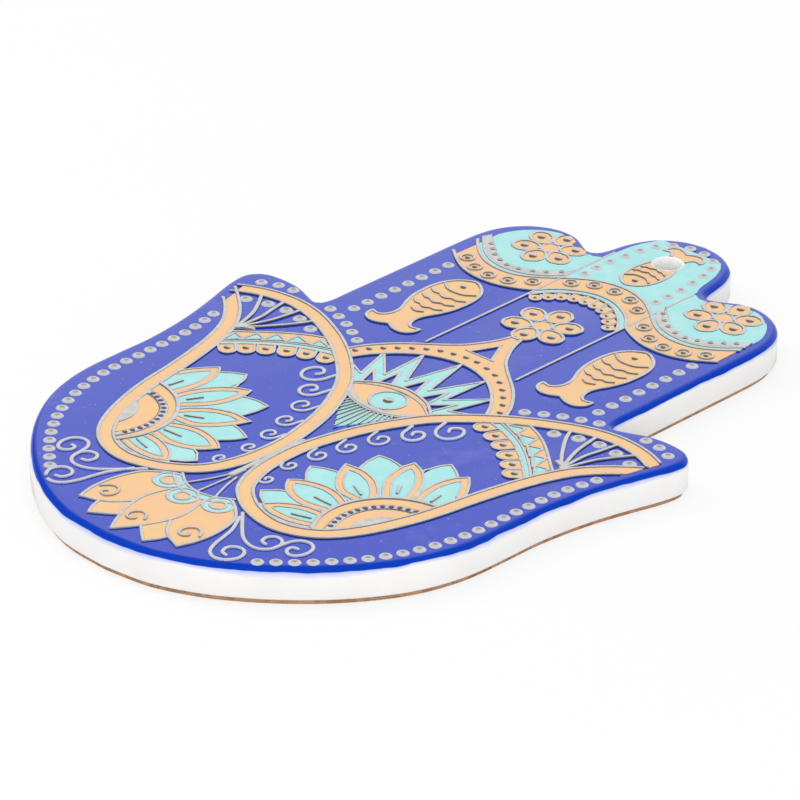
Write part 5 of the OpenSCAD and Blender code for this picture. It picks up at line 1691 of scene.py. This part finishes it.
@dataclass
class Palmette:
    """Palmette at the wrist: collar with half rings, five petals, rays above, scrolls beside."""

    shop: Workshop
    at: Point = (0.3, -62)
    turn: float = -3.0
    outer: Points = ((9.4, -1.6), (12.6, -4.3), (14, -7), (14.9, -10.8), (15.1, -14),
                     (14.8, -17.3), (13.8, -20.8))
    foot: Points = ((13.8, -20.8), (12, -20.1), (10.2, -19.5), (8.6, -18.5), (7.2, -17.2),
                    (5.4, -14.8))
    second: Points = ((9.9, -19.3), (9.2, -21.6), (7.8, -24))
    second_foot: Points = ((7.8, -24), (5.6, -22.4), (3.1, -20.3))
    middle: Points = ((4.2, -6), (5, -9), (5.4, -11.8), (5.1, -14.5), (4.3, -17.3), (3, -20.2),
                      (1.5, -22.9), (0, -25.2))
    curl: Points = ((2.7, 0.2), (1.6, 1.7), (0, 2.2), (-1.3, 1.2), (-1.7, -0.5), (-0.9, -1.8),
                    (0.3, -1.8), (0.9, -0.9), (0.3, -0.2))
    collar_top: Points = ((0, -2.9), (3.9, -2.1), (7.4, 0.2))
    collar_low: Points = ((0, -4.8), (4.2, -4), (8.5, -1.2))
    ring_r: float = 3.1
    ring_in_r: float = 1.6
    rings: Points = ((-0.4, -6.2), (7, -3.7), (-7, -3.7))
    ray: Points = ((0.9, 6.8), (2.2, 2.6), (4, -1.6))

    def build(self) -> None:
        """Builds the palmette."""
        low = Area(smooth(both(self.collar_low)) + [(12, 6), (-12, 6)])
        top = Area(smooth(both(self.collar_top)) + [(8, 6), (-8, 6)])
        discs = [Area(circle(c, self.ring_r - 0.1)) for c in self.rings]
        petals = []
        for line, width in ((self.outer, BEAD), (self.foot, BEAD * 0.9), (self.second, BEAD * 0.9),
                            (self.second_foot, BEAD * 0.9), (self.middle, BEAD * 0.9)):
            petals += [Stroke(smooth(line), width), Stroke(smooth(flip(line)), width)]
        lines = trimmed(petals, [], [low] + discs)
        lines.append(Stroke(smooth(both(self.collar_top)), BEAD * 0.9))
        lines.append(Stroke(smooth(both(self.collar_low)), BEAD * 0.85))
        rings = [Stroke(circle(c, r), BEAD * 0.9, True) for c in self.rings
                 for r in (self.ring_r, self.ring_in_r)]
        lines += trimmed(rings, [], [top])
        lines += [Stroke([(0, 6), (0, -2.6)], FINE), Stroke(smooth(self.ray), FINE),
                  Stroke(smooth(flip(self.ray)), FINE)]
        curl = smooth(self.curl)
        lines += [Stroke(turned(curl, (11.4, -15.4)), FINE, lift=ENAMEL_H),
                  Stroke(flip(turned(curl, (11.4, -15.4))), FINE, lift=ENAMEL_H),
                  Stroke(turned(curl, (-0.5, -18.4), 0, 0.9), FINE, lift=ENAMEL_H)]
        self.shop.relief("palmette_beads", ["palmette_lines"],
                         trimmed(shifted(lines, self.at, self.turn), [], LOOPS),
                         painted_shade=0.6, bloom=0.3)
        self.shop.field("palmette_gold_enamel", "palmette_gold", Finish.GOLD)
        self.shop.field("palmette_turquoise_enamel", "palmette_turquoise", Finish.TURQUOISE)


@dataclass
class Scrolls:
    """Curls beside the loops, scrolls beside the palmette and the dotted borders."""

    shop: Workshop
    curl: Points = ((-1.15, 1.1), (-1, 0.3), (-0.8, -0.45), (-0.3, -0.95), (0.3, -0.95),
                    (0.75, -0.45), (0.8, 0.2), (0.45, 0.75), (0, 0.75), (-0.3, 0.35),
                    (-0.1, -0.05))
    curls: tuple[tuple[float, float, float], ...] = (
        (18.3, -11.6, 3.2), (14, -17.7, 2.5), (10.4, -23.9, 2.3), (8.2, -30.9, 2.1),
        (6.4, -37.4, 1.95), (5.3, -44.4, 1.65), (6.2, -51.8, 1.5))
    scroll_1: Points = ((13, -64.8), (17, -69.1), (20, -71.9), (22.8, -73.2), (25.3, -73),
                        (26.9, -71.3), (27.1, -69), (26, -67.5), (24.2, -67.3), (23.1, -68.7),
                        (23.5, -70.4), (24.8, -70.8))
    scroll_2: Points = ((27, -70.6), (27.3, -68.5), (27.7, -66.4), (29, -64.9), (31, -64.6),
                        (32.6, -65.9), (33, -68.1), (32.2, -70.1), (30.7, -70.7), (29.3, -69.6),
                        (29.4, -68.2), (30.5, -67.9))
    scroll_3: Points = ((14.4, -66.6), (16.7, -71), (17.6, -74), (18.4, -77.5), (19.7, -80.3),
                        (21.7, -81.6), (24, -81), (25.5, -78.9), (25.2, -76.7), (23.7, -75.5),
                        (21.9, -75.9), (21.1, -77.3), (21.7, -79), (23, -79.4))
    border: Points = ((52, -6.4), (50.1, -16.3), (49.5, -30.1), (49, -41), (46.5, -51.8),
                      (41.8, -61.6), (35.2, -70.1), (28, -77))

    def build(self) -> None:
        """Builds curls, scrolls and borders."""
        wide = self.shop.ground.wide
        row = spread(self.border, 23)
        for side in SIDES:
            name = side.word
            curls = [Stroke(turned(smooth(self.curl), (x, y), 0, size),
                            FINE * (1.45 if size > 2.4 else 1.25)) for x, y, size in self.curls]
            lines = mirrored(curls, side)
            upper = [Stroke(smooth(self.scroll_1)), Stroke(smooth(self.scroll_2))]
            lines += shifted(mirrored(upper, side), (-0.4, -0.2))
            lower = [Stroke(smooth(self.scroll_3))]
            lines += shifted(mirrored(lower, side), (-1.0, 0.0))
            self.shop.relief(f"scroll_{name}_beads", [f"scrolls_{name}"],
                             trimmed(lines, [wide], LOOPS), painted_shade=0.3, bloom=0.8)
        thumb = spread([(48, 13.2), (51.8, 12.8), (55.3, 11.3)], 3)
        at = [p for p in row + thumb if wide.has(p)]
        self.shop.relief("border_dot_domes", ["border_dots"], [],
                         domes(at + flip(at), DOT_W, DOT_H, heart=1.0))


@dataclass
class Studio:
    """Camera at the photograph's angle, soft lamps, pale floor and white surroundings."""

    unit: float = 1.188
    yaw: float = 41.84
    elevation: float = 27.0
    roll: float = 1.41
    focal_px: float = 5783.0
    shift: tuple[float, float, float] = (24.62, 12.76, -1000.0)
    middle: tuple[float, float, float] = (0.6, 36.64, FACE_Z)
    bright: tuple[float, float, float] = (-0.36, 0.88, 0.30)
    dusk: tuple[float, float] = (0.64, 0.84)
    dim: float = 0.19
    plain: float = 0.85
    glow: float = 0.75
    drop: float = 0.05
    size: float = 3.0
    frame_px: int = 800
    sensor: float = 36.0

    def camera(self) -> bpy.types.Object:
        """Puts the camera where the photograph was taken from."""
        a, e = math.radians(self.yaw), math.radians(self.elevation)
        rear = Vector((math.sin(a) * math.cos(e), -math.cos(a) * math.cos(e), math.sin(e)))
        right = Vector((math.cos(a), math.sin(a), 0))
        up = rear.cross(right)
        rows = Matrix((right, up, rear))
        roll = Matrix.Rotation(-math.radians(self.roll), 3, "Z")
        rows = roll @ rows
        place = -(rows.transposed() @ Vector(self.shift)) * self.unit + Vector(self.middle)
        data = bpy.data.cameras.new("photo_camera")
        data.sensor_width = self.sensor
        data.lens = self.focal_px / self.frame_px * self.sensor
        data.clip_start, data.clip_end = 0.05, 50
        camera = placed("photo_camera", data)
        camera.matrix_world = Matrix.Translation(place * MM) @ rows.transposed().to_4x4()
        bpy.context.scene.camera = camera
        return camera

    def lamp(self, name: str, at: Point, height: float, size: float, watts: float) -> None:
        """Hangs a square soft lamp that faces the middle of the plaque.

        Args:
            name: Name of the lamp.
            at: Place over the ground, in metres.
            height: Height, in metres.
            size: Side of the lamp, in metres.
            watts: Its power.
        """
        data = bpy.data.lights.new(name, "AREA")
        data.shape = "SQUARE"
        data.size = size
        data.energy = watts
        lamp = placed(name, data)
        lamp.visible_glossy = False
        place = Vector((*at, height))
        facing = place.to_track_quat("Z", "Y").to_matrix().to_4x4()
        lamp.matrix_world = Matrix.Translation(place) @ facing

    def surroundings(self) -> None:
        """Sets the white room: plain white seen directly, a bright side and a dim side in gloss."""
        world = bpy.data.worlds.new("white_room")
        bpy.context.scene.world = world
        room = Nodes(world)
        room.nodes.clear()
        path = room.put("ShaderNodeLightPath").outputs
        way = room.put("ShaderNodeTexCoord").outputs["Generated"]
        side = room.vector("DOT_PRODUCT", way, Vector(self.bright).normalized()).outputs["Value"]
        bright = room.ramp(side, *self.dusk, self.dim, 1.0)
        gloss = room.sum("MAXIMUM", path["Is Glossy Ray"], path["Is Transmission Ray"])
        level = room.level(path["Is Camera Ray"], room.level(gloss, self.plain, bright), 1.0)
        shade = room.put("ShaderNodeBackground", {"Color": (1, 1, 1, 1), "Strength": level})
        room.join(shade.outputs[0], room.put("ShaderNodeOutputWorld").inputs["Surface"])

    def floor(self) -> None:
        """Lays the pale floor, which keeps the plaque's shadow and is clear from below."""
        bm = bmesh.new()
        bmesh.ops.create_grid(bm, x_segments=1, y_segments=1, size=self.size,
                              matrix=Matrix.Translation((0, 0, -self.drop * MM)))
        mesh = bpy.data.meshes.new("studio_floor")
        bm.to_mesh(mesh)
        bm.free()
        tree = Tree("floor_paper")
        tree.set(Base=tree.blend(tree.noise(0.02, 2.0), (0.93, 0.93, 0.93), (0.95, 0.95, 0.95)),
                 Roughness=0.7)
        path = tree.put("ShaderNodeLightPath").outputs
        glow = tree.put("ShaderNodeEmission", {"Color": (1, 1, 1, 1), "Strength": 1.0})
        share = tree.sum("MULTIPLY", path["Is Camera Ray"], self.glow)
        paper = tree.put("ShaderNodeMixShader", {0: share, 1: tree.shader.outputs[0],
                                                 2: glow.outputs[0]})
        near = tree.sum("LESS_THAN", path["Ray Length"], 5 * self.drop * MM)
        under = tree.sum("MULTIPLY", near, path["Is Diffuse Ray"])
        rear = tree.put("ShaderNodeNewGeometry").outputs["Backfacing"]
        clear = tree.put("ShaderNodeBsdfTransparent").outputs[0]
        shown = tree.put("ShaderNodeMixShader", {0: tree.sum("MAXIMUM", under, rear),
                                                 1: paper.outputs[0], 2: clear})
        tree.join(shown.outputs[0], tree.nodes["Material Output"].inputs["Surface"])
        mesh.materials.append(tree.material)
        placed("studio_floor", mesh)

    def build(self) -> None:
        """Sets up camera, lamps, surroundings and floor."""
        self.camera()
        self.lamp("key_lamp", (-0.55, -0.15), 0.62, 0.45, 1.3)
        self.lamp("front_lamp", (0.66, -0.66), 0.42, 0.6, 2.45)
        self.surroundings()
        self.floor()
        bpy.context.scene.view_settings.view_transform = "Standard"


def main() -> None:
    """Builds the plaque sub-assembly by sub-assembly."""
    logging.basicConfig(level=logging.INFO, format="%(message)s")
    shop = Workshop()
    for part in (Plate, Fingers, Rosettes, Fishes, EyeShrine, Loops, Thumbs, Lotuses, Palmette,
                 Scrolls):
        part(shop).build()
        LOG.info("%s done", part.__name__)
    Studio().build()


if __name__ == "__main__":
    main()
